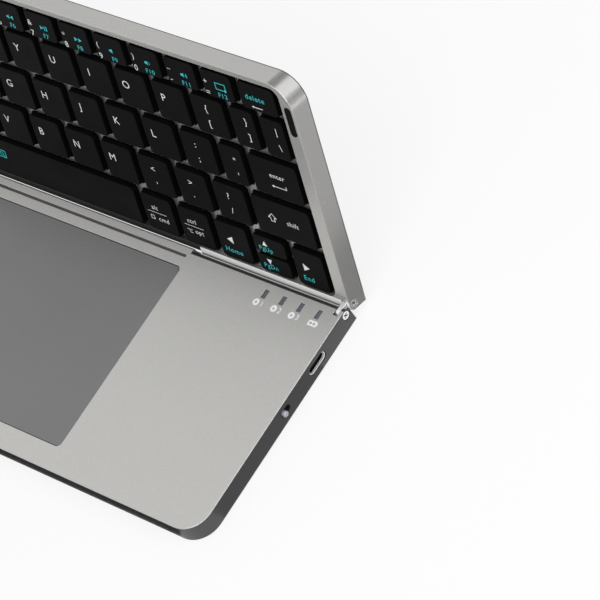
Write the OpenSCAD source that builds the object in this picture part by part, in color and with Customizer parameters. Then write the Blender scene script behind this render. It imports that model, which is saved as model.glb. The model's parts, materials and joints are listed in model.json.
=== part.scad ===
// Folding keyboard with a touchpad: two flat halves joined by a short link at each side, so
// that the keyboard half turns from closed on the touchpad half until it lies level with it.
// Millimetres, +X to the user's right, +Y away from the user, +Z up. The origin is on the
// table, under the middle of the front foot strip. Each half is drawn in a frame of its own:
// x across, s along the half from its hinge pivot to its outer edge, z up from the pivot.

/* [Halves] */
// Width of both halves
body_w = 248; // [244:1:262]
// Length of a half from its hinge pivot to its outer edge
half_reach = 89.2; // [87:0.1:96]
// Thickness of a half
half_t = 7.5; // [7.4:0.1:9]
// Radius of the outer corners, seen from above
corner_r = 9.5; // [6:0.5:12]
// Wall outside the covers, the pivots and the ports
wall_t = 1.15; // [1:0.05:1.4]
// Chamfer along the top edges
edge_chamfer = 0.3; // [0.1:0.05:0.5]
// Thickness of the bottom covers
cover_t = 0.8; // [0.6:0.1:1]
// Gap around a cover, plate or deck that is let into a half
let_in_gap = 0.1; // [0.05:0.05:0.2]
// Tilt of the keyboard half above the level touchpad half at rest
open_tilt = 71.2; // [45:0.1:90]

/* [Hinge] */
// Depth of the pivots below the top faces, which is also the radius of the hinge ends
pivot_depth = 2.35; // [2.3:0.05:2.5]
// Gap left between the halves, both level and closed
fold_gap = 0.3; // [0.2:0.05:0.5]
// Thickness of a link bar
link_t = 1.8; // [1.4:0.1:2]
// Radius of the round ends of a link bar
link_r = 2; // [1.8:0.05:2.1]
// Room beside and around a link bar in its notch
link_gap = 0.1; // [0.05:0.05:0.2]
// Diameter of the screw shoulder that a link bar turns on
shoulder_d = 2.2; // [1.8:0.1:2.6]
// Radial running clearance of a link bar on its shoulder
shoulder_gap = 0.05; // [0.02:0.01:0.08]
// Diameter of a pivot screw's head
pivot_head_d = 3.1; // [2.8:0.1:3.3]
// Diameter of the hole in the side wall that a pivot screw's head lies in
head_hole_d = 3.5; // [3.4:0.1:3.8]
// Diameter of a pivot screw's thread
pivot_thread_d = 1.6; // [1.2:0.1:1.8]
// Outer diameter of a threaded insert
insert_d = 3.4; // [3:0.1:3.6]
// Length of a threaded insert
insert_l = 6; // [4:0.5:10]
// Thickness of a friction washer
washer_t = 0.25; // [0.2:0.05:0.35]
// Width of the tongue in the middle of the touchpad half's hinge end
tongue_w = 108; // [80:1:120]
// Chamfer on the tongue's corner
tongue_chamfer = 0.7; // [0.5:0.1:1]
// Width of the groove along the tongue
groove_w = 1; // [0.6:0.1:1.2]
// Depth of the groove along the tongue
groove_depth = 0.5; // [0.3:0.1:0.7]
// Room at each end of the tongue
tongue_end_gap = 2; // [1:0.5:4]
// Radius of the black cover over the keyboard half's hinge end, below the pivot depth
hinge_cover_r = 1.7; // [1.2:0.1:1.8]

/* [Touchpad half] */
// Width of the touchpad
pad_w = 108; // [90:1:112]
// Margin in front of the touchpad
pad_front = 8.56; // [6:0.1:12]
// Margin between the touchpad and the hinge pivots
pad_rear = 5.64; // [5.5:0.01:12]
// Radius of the touchpad's corners
pad_r = 2; // [1:0.5:5]
// Gap around the touchpad
pad_gap = 0.2; // [0.1:0.05:0.4]
// Thickness of the touchpad's glass
glass_t = 0.8; // [0.6:0.1:1]
// Distance that the touchpad sinks when it is clicked
pad_travel = 0.25; // [0.15:0.05:0.3]
// Thickness of the top plate
plate_t = 1.2; // [1:0.1:1.4]
// Width of the side and front members of the tray
tray_rim = 3.6; // [3.5:0.1:4]
// Width of a status light
led_w = 1.85; // [1.2:0.05:2.5]
// Length of a status light
led_l = 3.4; // [2:0.1:3.8]
// Distance between two status lights
led_pitch = 8; // [6:0.5:10]
// Distance from the side face to the middle of the last status light
led_inset = 8.2; // [7:0.1:12]
// Distance from the pivot to the middle of the status lights
led_s = 4; // [3.9:0.1:6]
// Distance from the pivot to the middle of the charging port
usb_s = 18.5; // [15:0.5:24]
// Distance from the pivot to the middle of the power switch
switch_s = 37.7; // [32:0.5:46]
// Distance that the power switch slides
switch_travel = 2; // [1:0.1:2.4]
// Diameter of the power switch's knob
knob_d = 2.2; // [1.8:0.1:2.4]
// Height of the power switch's knob above the side face
knob_out = 1.2; // [0.6:0.1:1.5]

/* [Keyboard half] */
// Width of the rim left and right of the keys
side_rim = 4.9; // [4:0.1:6]
// Width of the rim behind the keys
rear_rim = 1.9; // [1.8:0.1:3]
// Distance from the pivot to the edge of the key window
window_s = 2; // [2:0.1:2.2]
// Radius of the key window's corners
window_r = 3.7; // [2:0.1:6]
// Depth of the key deck below the rim
deck_depth = 2.2; // [2:0.1:2.3]
// Thickness of the key deck
deck_t = 1.1; // [0.8:0.1:1.1]
// Width of the rubber pads on the side rims
rim_pad_w = 2.7; // [2:0.1:3]
// Length of the rubber pads on the side rims
rim_pad_l = 11.5; // [6:0.5:20]
// Height of the rubber pads above the rim
rim_pad_out = 0.15; // [0.05:0.05:0.2]

/* [Keys] */
// Number of letter key widths, with their gaps, across the key field
pitches_across = 13.216; // [13:0.001:13.5]
// Gap between the top faces of two keys, side by side
key_gap_x = 3.06; // [2.6:0.01:3.1]
// Gap between the top faces of two rows
key_gap_s = 2.9; // [2.5:0.1:2.9]
// Gap between the top faces of the number row and the row below it
number_gap_s = 2; // [1.8:0.1:2.9]
// Length of a number key's top face, front to back
number_l = 10.6; // [9:0.1:11]
// Width of the narrow keys before the right end keys
narrow_w = 10.4; // [9:0.1:10.5]
// Width of the right arrow key
last_arrow_w = 13.78; // [12:0.01:14.5]
// Gap between the up and down arrow keys
arrow_gap = 1; // [0.9:0.1:2]
// Height of a keycap
key_h = 2.6; // [2.4:0.1:2.7]
// Widening of a keycap on each side, from its top face to its foot
key_flare = 0.3; // [0.1:0.05:0.35]
// Radius of a keycap's corners
key_r = 1.7; // [1:0.1:3]
// Thickness of a keycap's top
key_top_t = 0.8; // [0.6:0.1:1]
// Thickness of a keycap's sides
key_side_t = 0.7; // [0.5:0.1:1]
// Depth of the keycaps' top faces below the rim
key_drop = 0.1; // [0:0.05:0.3]
// Distance that a key travels
key_travel = 1.1; // [0.8:0.1:1.1]
// Gap around a keycap in the key deck
key_hole_gap = 0.25; // [0.2:0.05:0.35]

/* [Inside] */
// Thickness of the circuit boards
board_t = 0.8; // [0.6:0.1:1]
// Width of the battery
battery_w = 54; // [30:1:56]
// Length of the battery
battery_l = 64; // [30:1:66]
// Thickness of the battery
battery_t = 3.6; // [2.5:0.1:3.8]
// Length of a magnet
magnet_l = 20; // [8:1:30]
// Width of a magnet
magnet_w = 3; // [2:0.1:3.2]
// Thickness of a magnet
magnet_t = 1.2; // [0.8:0.1:1.2]
// Gap between a magnet and the rib next to it
magnet_gap = 5; // [2:0.5:8]
// Thickness of the sheet with the rubber domes
dome_sheet_t = 0.3; // [0.2:0.05:0.4]
// Thickness of the contact membrane
membrane_t = 0.3; // [0.2:0.05:0.4]
// Thickness of the steel plate under the keys
backplate_t = 0.6; // [0.4:0.1:0.8]
// Diameter of a cover screw's head
cover_head_d = 2.1; // [1.8:0.1:2.2]
// Diameter of a cover screw's thread
cover_thread_d = 1.2; // [1:0.1:1.4]
// Length of a cover screw
cover_screw_l = 3.2; // [2:0.1:3.5]

/* [Feet] */
// Height of the rubber feet
foot_t = 0.6; // [0.4:0.1:1]
// Length of the foot strips of the touchpad half
foot_l = 200; // [100:5:215]
// Width of the foot strips
foot_w = 5; // [3:0.5:8]
// Distance from the outer edge to the middle of the front foot strip
foot_inset = 10; // [8:0.5:14]
// Distance from the pivot to the middle of the rear foot strip
rear_foot_s = 7; // [5:0.5:12]
// Diameter of the round feet of the keyboard half
round_foot_d = 8; // [4:0.5:10]

/* [Hidden] */
$fn = 48;

// Amount by which a cut runs past the face it opens
past = 1;
// Clearance of a screw in its insert, and of an insert in its bore
seat_gap = 0.01;

// Colours
aluminium = [0.74, 0.74, 0.73];
graphite = [0.27, 0.27, 0.28];
pad_grey = [0.43, 0.43, 0.44];
black = [0.1, 0.1, 0.11];
steel = [0.8, 0.8, 0.82];
rubber = [0.06, 0.06, 0.06];
board_green = [0.05, 0.3, 0.2];
brass = [0.7, 0.58, 0.3];

// Levels of both halves, measured from the pivot
top_z = pivot_depth;
bottom_z = pivot_depth - half_t;
cover_z = bottom_z + cover_t;
hinge_end = pivot_depth;
link_len = 2 * pivot_depth + fold_gap;
side_x = body_w / 2;
pivot_z = foot_t - bottom_z;
base_pivot_y = half_reach - foot_inset;

// Places across a hinge end, measured inwards from the side face
link_in = wall_t + link_gap;
washer_in = link_in + link_t + 2 * seat_gap;
notch_in = washer_in + washer_t + 2 * seat_gap;
notch_room = link_r + 2 * link_gap;
washer_d = 2 * link_r - 0.2;
head_recess = 0.15;
cross_depth = 0.45;
cross_l = 0.62 * pivot_head_d;
cross_w = 0.42;
thread_l = 4;

// Cover screws
cover_screw_in = (wall_t + tray_rim) / 2;
cover_head_t = 0.5;
cover_head_room = 0.2;
cover_cross_l = 0.6 * cover_head_d;
cover_cross_w = 0.35;
// Distance from the outer edge to the last cover screw
last_screw_in = 7.5;
// Distance from the outer edge to the third cover screw, which clears the power switch
third_screw_in = 29.6;
base_screw_places = [8, 28, half_reach - third_screw_in, half_reach - last_screw_in];
keyboard_screw_places = [6, half_reach / 2, half_reach - last_screw_in];

// Touchpad half
lip_t = 0.3;
plate_z = top_z - plate_t;
groove_s = 1.4;
groove_end = 1;
tray_bar_s = 2.1;
pad_l = half_reach - pad_front - pad_rear;
glass_sink = 0.05;
glass_z = top_z - glass_sink - glass_t;
pad_board_z = glass_z - board_t;
pad_board_inset = 0.5;
bracket_t = 0.5;
bracket_room = 0.1;
bracket_z = pad_board_z - pad_travel - bracket_room - bracket_t;
bracket_reach = 4;
bracket_post_d = 3.5;
bracket_inset = 3;
post_in = 8;
usb_w = 8.94;
usb_h = 3.26;
usb_gap = 0.15;
usb_depth = 7.3;
usb_wall = 0.3;
usb_recess = 0.4;
usb_tongue_w = 6.7;
usb_tongue_t = 0.7;
usb_tongue_l = 5;
usb_back_t = 1;
usb_z = -1.4;
board_top_z = usb_z - usb_h / 2;
board_z = board_top_z - board_t;
board_l = 48;
board_s = led_s - led_l / 2;
board_room = 0.3;
board_w = 60.1;
board_outer_x = side_x - tray_rim - board_room;
board_inner_x = board_outer_x - board_w;
standoff_d = 3;
standoff_in = 4;
// Chips on the main board: distance from its outer end, s, width, length and height
controller = [40.1, 22, 7, 7, 0.9];
radio_module = [26.1, 36, 12, 9, 1.6];
battery_socket = [59.1, 20, 4, 6, 1.8];
led_h = 0.6;
led_body_w = 1.6;
led_body_l = 0.8;
led_gap = 0.05;
slot_gap = 0.15;
switch_z = -1.02;
knob_flange_d = 3.2;
knob_flange_t = 0.7;
knob_step = 0.2;
knob_room = 0.1;
switch_body_l = 7;
switch_room = 0.2;
switch_body_w = 2.6;
battery_s = 10;
battery_room = 3;
battery_x = -(side_x - tray_rim - battery_room);
battery_r = 2;
magnet_room = 0.1;
magnet_s = half_reach - tray_rim - magnet_room - magnet_w;

// Keyboard half
deck_z = top_z - deck_depth - deck_t;
ledge_t = 0.9;
ledge_w = 1.5;
rear_ledge_w = 0.7;
sheet_top_z = deck_z - ledge_t;
membrane_top_z = sheet_top_z - dome_sheet_t;
backplate_top_z = membrane_top_z - membrane_t;
backplate_z = backplate_top_z - backplate_t;
window_w = body_w - 2 * side_rim;
window_end_s = half_reach - rear_rim;
sheet_inset = 0.2;
rim_pad_in = 0.95;
rim_pad_seat = 0.4;
rim_pad_gap = 0.05;
rim_pad_far = 7.9;
rim_pad_s = half_reach - rim_pad_far - rim_pad_l;
round_foot_s = 10;
hinge_cover_z = -2;
hinge_cover_gap = 0.1;
rib_t = 1.2;
rib_in = 2;
rib_count = 5;
rib_pitch = window_w / (rib_count + 1);
last_rib_x = (rib_count - 1) / 2 * rib_pitch;
magnet_x = last_rib_x + rib_t / 2 + magnet_gap + magnet_l / 2;

// Key field. Rows count from the space bar's row, 0, to the number row, 4
key_top_z = top_z - key_drop;
key_foot_z = key_top_z - key_h;
stem_d = 4;
stem_gap = 0.05;
stem_end_z = key_foot_z + stem_gap;
dome_d = 5;
dome_top_z = stem_end_z - key_travel - stem_gap;
key_margin = 2.6;
first_row_s = 2.6;
rear_key_margin = 1.4;
field_x = side_x - side_rim - key_margin;
field_end_s = half_reach - rear_rim - rear_key_margin;
key_pitch = 2 * field_x / pitches_across;
key_w = key_pitch - key_gap_x;
number_row = 4;
number_pitch = 0.9325 * key_pitch;
key_l = (field_end_s - number_l - number_gap_s - 3 * key_gap_s - first_row_s) / 4;
row_pitch = key_l + key_gap_s;
// Distance from the left end of the key field to the first character key of each row
row_start = [4, 1.73, 1.2365, 0.879, 1.1345] * key_pitch;
// Character keys of full width in each row
row_count = [0, 10, 10, 11, 12];

function is_narrow_row(row) = row == 2 || row == 3;
function char_pitch(row) = row == number_row ? number_pitch : key_pitch;
function char_w(row) = char_pitch(row) - key_gap_x;
function char_x(row, i) = row_start[row] - field_x + i * char_pitch(row);
function chars_end(row) =
    char_x(row, row_count[row]) + (is_narrow_row(row) ? narrow_w + key_gap_x : 0);
function row_s(row) = row == number_row ? field_end_s - number_l : first_row_s + row * row_pitch;
function row_l(row) = row == number_row ? number_l : key_l;

// Keys of the space bar's row to the right of it, counted from the left
last_x = field_x - last_arrow_w;
function right_x(i) = last_x - (4 - i) * key_pitch;

// Every hole of the key deck, as [x, s, width, length] of the key's top face
deck_holes = concat(
    [for (row = [1 : 4]) each [
        [-field_x, row_s(row), row_start[row] - key_gap_x, row_l(row)],
        for (i = [0 : row_count[row] - 1]) [char_x(row, i), row_s(row), char_w(row), row_l(row)],
        [chars_end(row), row_s(row), field_x - chars_end(row), row_l(row)]
    ]],
    [for (row = [2, 3]) [char_x(row, row_count[row]), row_s(row), narrow_w, key_l]],
    [for (i = [0 : 3]) [-field_x + i * key_pitch, first_row_s, key_w, key_l]],
    [[char_x(0, 0), first_row_s, right_x(0) - key_gap_x - char_x(0, 0), key_l]],
    [for (i = [0 : 4]) [right_x(i), first_row_s, i == 4 ? last_arrow_w : key_w, key_l]]
);

// ---- Frames of the two halves ----

module in_touchpad_half() {
    translate([0, base_pivot_y, pivot_z]) mirror([0, 1, 0]) children();
}

module in_keyboard_half() {
    translate([0, base_pivot_y + link_len, pivot_z]) rotate([open_tilt, 0, 0]) children();
}

// Children drawn at the right side, repeated at the left
module both_sides() {
    children();
    mirror([1, 0, 0]) children();
}

// A cylinder along X, from depth a to depth b inwards from the right side face
module side_cylinder(d, a, b) {
    translate([side_x - b, 0, 0]) rotate([0, 90, 0]) cylinder(d = d, h = b - a);
}

// ---- Shared shapes ----

module rounded_rect(w, l, r) {
    translate([r, 0]) square([w - 2 * r, l]);
    translate([0, r]) square([w, l - 2 * r]);
    for (x = [r, w - r], y = [r, l - r]) translate([x, y]) circle(r = r);
}

// Bar with round ends, centred
module slot_shape(w, h) {
    square([w - h, h], center = true);
    for (x = [-1, 1]) translate([x * (w - h) / 2, 0]) circle(d = h);
}

// Outline of a half with an equal margin on three sides, from near_s to its outer edge
module half_outline(inset, near_s) {
    r = corner_r - inset;
    far_s = half_reach - inset;
    x = side_x - inset;
    translate([-x, near_s]) square([2 * x, far_s - r - near_s]);
    translate([r - x, near_s]) square([2 * (x - r), far_s - near_s]);
    for (side = [-1, 1]) translate([side * (x - r), far_s - r]) circle(r = r);
}

module half_plate(inset, near_s, z0, z1) {
    translate([0, 0, z0]) linear_extrude(z1 - z0) half_outline(inset, near_s);
}

// What rounds a hinge end off: the corner outside the pivot's own radius
module hinge_end_trim(w) {
    difference() {
        translate([-w / 2, -hinge_end - past, 0]) cube([w, hinge_end + past, top_z + past]);
        translate([-w / 2 - past, 0, 0]) rotate([0, 90, 0])
            cylinder(r = pivot_depth, h = w + 2 * past);
    }
}

// Room for a link bar and its screw, at both sides
module hinge_cuts() {
    both_sides() {
        translate([side_x - notch_in, -hinge_end - past, -notch_room])
            cube([notch_in - wall_t, hinge_end + past + notch_room, notch_room + top_z + past]);
        side_cylinder(head_hole_d, -past, wall_t + past);
        side_cylinder(insert_d + 2 * seat_gap, wall_t, notch_in + insert_l + link_gap);
    }
}

// A shouldered pivot screw with a cross recess
module pivot_screw() {
    difference() {
        side_cylinder(pivot_head_d, head_recess, wall_t);
        for (a = [45, 135]) translate([side_x - head_recess, 0, 0]) rotate([a, 0, 0])
            cube([2 * cross_depth, cross_l, cross_w], center = true);
    }
    side_cylinder(shoulder_d, (head_recess + cross_depth + wall_t) / 2, notch_in);
    side_cylinder(pivot_thread_d, wall_t, notch_in + thread_l);
}

module pivot_screws() {
    both_sides() pivot_screw();
}

module pivot_inserts() {
    both_sides() difference() {
        side_cylinder(insert_d, notch_in + seat_gap, notch_in + insert_l);
        side_cylinder(pivot_thread_d + 2 * seat_gap, notch_in, notch_in + thread_l + link_gap);
    }
}

module friction_washers() {
    both_sides() difference() {
        side_cylinder(washer_d, washer_in, washer_in + washer_t);
        side_cylinder(shoulder_d + 2 * shoulder_gap, washer_in - past, washer_in + past);
    }
}

// Places of the cover screws of a half, on its side members
module at_cover_screws(places) {
    both_sides() for (s = places) translate([side_x - cover_screw_in, s, bottom_z]) children();
}

module cover_screw_hole() {
    translate([0, 0, -past]) cylinder(d = cover_head_d + cover_head_room, h = past + cover_head_t);
    cylinder(d = cover_thread_d + 2 * seat_gap, h = cover_screw_l + link_gap, $fn = 24);
}

module cover_screw() {
    difference() {
        cylinder(d = cover_head_d, h = cover_head_t);
        for (a = [0, 90]) rotate([0, 0, a])
            cube([cover_cross_l, cover_cross_w, cover_head_t], center = true);
    }
    translate([0, 0, 0.8 * cover_head_t])
        cylinder(d = cover_thread_d, h = cover_screw_l - 0.8 * cover_head_t, $fn = 24);
}

// ---- Touchpad half ----

module base_tray() color(graphite) in_touchpad_half() difference() {
    half_plate(0, -hinge_end, bottom_z, top_z);
    half_plate(-past, 0, top_z - lip_t, top_z + past);
    half_plate(wall_t, tray_bar_s, plate_z, top_z + past);
    tray_well();
    half_plate(wall_t, wall_t - hinge_end, bottom_z - past, cover_z);
    hinge_end_trim(body_w + 2 * past);
    tongue_seat();
    hinge_cuts();
    usb_opening();
    switch_slot();
    at_cover_screws(base_screw_places) cover_screw_hole();
}

// Hollow between the members of the tray
module tray_well() {
    half_plate(tray_rim, tray_bar_s, bottom_z - past, top_z + past);
}

// Where the tongue of the top plate lies on the tray's hinge end
module tongue_seat() {
    translate([-tongue_w / 2, -hinge_end - past, 0])
        cube([tongue_w, hinge_end + past + tray_bar_s, top_z + past]);
}

module usb_opening() {
    translate([side_x - tray_rim - past, usb_s, usb_z]) rotate([90, 0, 90])
        linear_extrude(tray_rim + 2 * past) slot_shape(usb_w + 2 * usb_gap, usb_h + 2 * usb_gap);
}

module switch_slot() {
    translate([side_x - tray_rim - past, switch_s, switch_z]) rotate([90, 0, 90])
        linear_extrude(tray_rim + 2 * past)
        slot_shape(knob_d + switch_travel + 4 * slot_gap, knob_d + 2 * slot_gap);
}

module base_top_plate() color(aluminium) in_touchpad_half() difference() {
    union() {
        chamfered_lip();
        half_plate(wall_t + let_in_gap, tray_bar_s + let_in_gap, plate_z, top_z - lip_t / 2);
        tongue();
    }
    translate([-pad_w / 2, pad_rear, plate_z - past])
        linear_extrude(plate_t + 2 * past) rounded_rect(pad_w, pad_l, pad_r);
    at_leds() translate([-led_w / 2, -led_l / 2, plate_z - past])
        cube([led_w, led_l, plate_t + 2 * past]);
    hinge_cuts();
    tongue_groove();
}

// Thin outer lip of the top plate, with a bright chamfer all round
module chamfered_lip() {
    steps = 2;
    for (i = [0 : steps - 1])
        half_plate(i * edge_chamfer / steps, 0,
            top_z - lip_t + i * lip_t / steps, top_z - lip_t + (i + 1) * lip_t / steps);
}

// Tongue across the middle of the hinge end, where the keyboard half's rim is cut away
module tongue() {
    translate([-tongue_w / 2, 0, 0]) rotate([90, 0, 90]) linear_extrude(tongue_w) polygon([
        [-hinge_end, 0],
        [-hinge_end, top_z - tongue_chamfer],
        [tongue_chamfer - hinge_end, top_z],
        [tray_bar_s, top_z],
        [tray_bar_s, 0]
    ]);
}

module tongue_groove() {
    translate([0, groove_s, top_z - groove_depth]) linear_extrude(groove_depth + past)
        slot_shape(tongue_w - 2 * groove_end, groove_w);
}

module at_leds() {
    for (i = [0 : 3]) translate([side_x - led_inset - i * led_pitch, led_s, 0]) children();
}

module base_bottom_cover() color(graphite) in_touchpad_half() difference() {
    union() {
        bottom_cover();
        // Standoffs under the main board
        for (x = [board_inner_x + standoff_in, board_outer_x - standoff_in])
            for (s = [board_s + 2 * standoff_in, board_s + board_l - standoff_in])
                translate([x, s, cover_z - link_gap])
                cylinder(d = standoff_d, h = board_z - cover_z + link_gap, $fn = 24);
    }
    at_cover_screws(base_screw_places) cover_screw_hole();
}

module bottom_cover() {
    half_plate(wall_t + let_in_gap, wall_t + let_in_gap - hinge_end, bottom_z, cover_z);
}

module touchpad_bracket() color(steel) in_touchpad_half() {
    x = pad_w / 2 + bracket_reach;
    translate([-x, pad_rear + bracket_inset, bracket_z])
        cube([2 * x, pad_l - 2 * bracket_inset, bracket_t]);
    for (side = [-1, 1], s = [pad_rear + post_in, half_reach - pad_front - post_in])
        translate([side * (pad_w / 2 + bracket_reach / 2), s, bracket_z])
            cylinder(d = bracket_post_d, h = plate_z - bracket_z, $fn = 24);
}

module main_board() color(board_green) in_touchpad_half() {
    translate([board_inner_x, board_s, board_z]) cube([board_w, board_l, board_t]);
    for (chip = [controller, radio_module, battery_socket])
        translate([board_outer_x - chip[0], chip[1], board_top_z - board_t / 2])
            cube([chip[2], chip[3], chip[4] + board_t / 2]);
}

module status_leds() color("white") in_touchpad_half() {
    at_leds() translate([-led_body_w / 2, -led_body_l / 2, board_top_z])
        cube([led_body_w, led_body_l, led_h]);
}

module led_light_pipes() color("whitesmoke") in_touchpad_half() {
    w = led_w - 2 * led_gap;
    l = led_l - 2 * led_gap;
    at_leds() translate([-w / 2, -l / 2, board_top_z + led_h])
        cube([w, l, top_z - led_gap - board_top_z - led_h]);
}

module usb_c_receptacle() color(steel) in_touchpad_half() {
    translate([side_x - usb_recess - usb_depth, usb_s, usb_z]) rotate([90, 0, 90]) {
        difference() {
            linear_extrude(usb_depth) slot_shape(usb_w, usb_h);
            translate([0, 0, usb_back_t]) linear_extrude(usb_depth)
                slot_shape(usb_w - 2 * usb_wall, usb_h - 2 * usb_wall);
        }
        // Contact tongue
        translate([-usb_tongue_w / 2, -usb_tongue_t / 2, usb_back_t / 2])
            cube([usb_tongue_w, usb_tongue_t, usb_tongue_l + usb_back_t / 2]);
    }
}

module power_switch_body() color(steel) in_touchpad_half() {
    x = side_x - tray_rim - knob_room - knob_flange_t - switch_room - switch_body_w;
    translate([x, switch_s - switch_body_l / 2, board_top_z])
        cube([switch_body_w, switch_body_l, switch_z + knob_d / 2 - board_top_z]);
}

module power_switch_knob() color([0.75, 0.74, 0.78]) in_touchpad_half() {
    translate([0, switch_s + switch_travel / 2, switch_z]) {
        side_cylinder(knob_d - 2 * knob_step, -knob_out, 0);
        side_cylinder(knob_d, knob_step - knob_out, tray_rim + knob_flange_t);
        side_cylinder(knob_flange_d, tray_rim + knob_room, tray_rim + knob_room + knob_flange_t);
    }
}

module battery_pack() color([0.55, 0.58, 0.62]) in_touchpad_half() {
    translate([battery_x, battery_s, cover_z]) linear_extrude(battery_t)
        rounded_rect(battery_w, battery_l, battery_r);
}

module base_pivot_screws() color(steel) in_touchpad_half() pivot_screws();

module base_pivot_inserts() color(brass) in_touchpad_half() pivot_inserts();

module base_friction_washers() color(steel) in_touchpad_half() friction_washers();

module base_magnets() color(steel) in_touchpad_half() {
    for (side = [-1, 1])
        translate([side * magnet_x - magnet_l / 2, magnet_s,
            plate_z - magnet_t])
            cube([magnet_l, magnet_w, magnet_t]);
}

module base_cover_screws() color(steel) in_touchpad_half() {
    at_cover_screws(base_screw_places) cover_screw();
}

module base_feet() color(rubber) in_touchpad_half() {
    for (s = [rear_foot_s, half_reach - foot_inset])
        translate([0, s, bottom_z - foot_t]) linear_extrude(foot_t) slot_shape(foot_l, foot_w);
}

module touchpad_glass() color(pad_grey) in_touchpad_half() {
    translate([pad_gap - pad_w / 2, pad_rear + pad_gap, glass_z]) linear_extrude(glass_t)
        rounded_rect(pad_w - 2 * pad_gap, pad_l - 2 * pad_gap, pad_r - pad_gap);
}

module touchpad_board() color(board_green) in_touchpad_half() {
    inset = pad_gap + pad_board_inset;
    translate([inset - pad_w / 2, pad_rear + inset, pad_board_z])
        cube([pad_w - 2 * inset, pad_l - 2 * inset, board_t]);
}

// ---- Links ----

module hinge_links() color(steel) both_sides() translate([0, base_pivot_y, pivot_z]) {
    difference() {
        union() {
            for (y = [0, link_len]) translate([0, y, 0])
                side_cylinder(2 * link_r, link_in, link_in + link_t);
            translate([side_x - link_in - link_t, 0, -link_r]) cube([link_t, link_len, 2 * link_r]);
        }
        for (y = [0, link_len]) translate([0, y, 0])
            side_cylinder(shoulder_d + 2 * shoulder_gap, link_in - past, link_in + link_t + past);
    }
}

// ---- Keyboard half ----

module keyboard_frame() color(aluminium) in_keyboard_half() difference() {
    union() {
        difference() {
            union() {
                half_plate(0, -hinge_end, bottom_z, top_z - edge_chamfer);
                chamfered_lip_full();
            }
            key_window(0, bottom_z - past, top_z + past);
        }
        deck_ledge();
    }
    half_plate(wall_t, wall_t - hinge_end, bottom_z - past, cover_z);
    hinge_end_trim(body_w + 2 * past);
    hinge_cuts();
    hinge_cover_seat();
    rim_pad_blocks(rim_pad_gap);
    at_cover_screws(keyboard_screw_places) cover_screw_hole();
}

module chamfered_lip_full() {
    steps = 2;
    z0 = top_z - edge_chamfer;
    for (i = [0 : steps - 1])
        half_plate(i * edge_chamfer / steps, -hinge_end,
            z0 + i * edge_chamfer / steps, z0 + (i + 1) * edge_chamfer / steps);
}

module key_window(inset, z0, z1) {
    translate([inset - window_w / 2, window_s + inset, z0]) linear_extrude(z1 - z0)
        rounded_rect(window_w - 2 * inset, window_end_s - window_s - 2 * inset, window_r - inset);
}

// Ledge that carries the key deck left, right and behind the keys
module deck_ledge() {
    difference() {
        key_window(0, deck_z - ledge_t, deck_z);
        translate([ledge_w - window_w / 2, window_s - past, deck_z - ledge_t - past])
            cube([window_w - 2 * ledge_w, window_end_s - rear_ledge_w - window_s + past,
                ledge_t + 2 * past]);
    }
}

// Cut over the hinge end that makes room for the tongue and holds the black cover
module hinge_cover_seat() {
    w = tongue_w + 2 * tongue_end_gap;
    translate([-w / 2, -hinge_end - past, hinge_cover_z])
        cube([w, hinge_end + past + window_s + past, top_z + past - hinge_cover_z]);
}

module keyboard_hinge_cover() color(black) in_keyboard_half() {
    w = tongue_w + 2 * tongue_end_gap - 2 * hinge_cover_gap;
    inner_s = window_s - hinge_cover_gap;
    translate([-w / 2, 0, 0]) {
        rotate([0, 90, 0]) cylinder(r = hinge_cover_r, h = w);
        translate([0, -hinge_cover_r, hinge_cover_z])
            cube([w, hinge_cover_r + inner_s, -hinge_cover_z]);
        translate([0, 0, -past]) cube([w, inner_s, hinge_cover_r + past]);
    }
}

module key_deck() color([0.3, 0.3, 0.31]) in_keyboard_half() difference() {
    key_window(let_in_gap, deck_z, deck_z + deck_t);
    for (hole = deck_holes) {
        grow = key_flare + key_hole_gap;
        translate([hole[0] - grow, hole[1] - grow, deck_z - past]) linear_extrude(deck_t + 2 * past)
            rounded_rect(hole[2] + 2 * grow, hole[3] + 2 * grow, key_r);
    }
}

module dome_sheet() color([0.8, 0.8, 0.78]) in_keyboard_half() {
    key_window(sheet_inset, membrane_top_z, sheet_top_z);
    for (hole = deck_holes)
        translate([hole[0] + hole[2] / 2, hole[1] + hole[3] / 2, sheet_top_z])
            cylinder(d1 = dome_d, d2 = stem_d, h = dome_top_z - sheet_top_z, $fn = 24);
}

module contact_membrane() color([0.85, 0.9, 0.85]) in_keyboard_half()
    key_window(sheet_inset, backplate_top_z, membrane_top_z);

module key_backplate() color(steel) in_keyboard_half()
    key_window(sheet_inset, backplate_z, backplate_top_z);

module keyboard_bottom_cover() color(aluminium) in_keyboard_half() difference() {
    union() {
        bottom_cover();
        // Ribs that hold the plate under the keys
        for (i = [0 : rib_count - 1])
            translate([i * rib_pitch - last_rib_x - rib_t / 2,
                window_s + rib_in, cover_z - link_gap])
                cube([rib_t, window_end_s - window_s - 2 * rib_in,
                    backplate_z - cover_z + link_gap]);
    }
    at_cover_screws(keyboard_screw_places) cover_screw_hole();
}

// The two rim pads, or with a gap the pockets that they lie in
module rim_pad_blocks(gap) {
    both_sides()
        translate([side_x - rim_pad_in - rim_pad_w / 2, rim_pad_s + rim_pad_l / 2,
            top_z - rim_pad_seat])
        linear_extrude(rim_pad_seat + rim_pad_out)
        rotate(90) slot_shape(rim_pad_l + 2 * gap, rim_pad_w + 2 * gap);
}

module rim_pads() color(rubber) in_keyboard_half() rim_pad_blocks(0);

module keyboard_pivot_screws() color(steel) in_keyboard_half() pivot_screws();

module keyboard_pivot_inserts() color(brass) in_keyboard_half() pivot_inserts();

module keyboard_friction_washers() color(steel) in_keyboard_half() friction_washers();

module keyboard_magnets() color(steel) in_keyboard_half() {
    for (side = [-1, 1])
        translate([side * magnet_x - magnet_l / 2, magnet_s,
            backplate_z - magnet_t])
            cube([magnet_l, magnet_w, magnet_t]);
}

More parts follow.
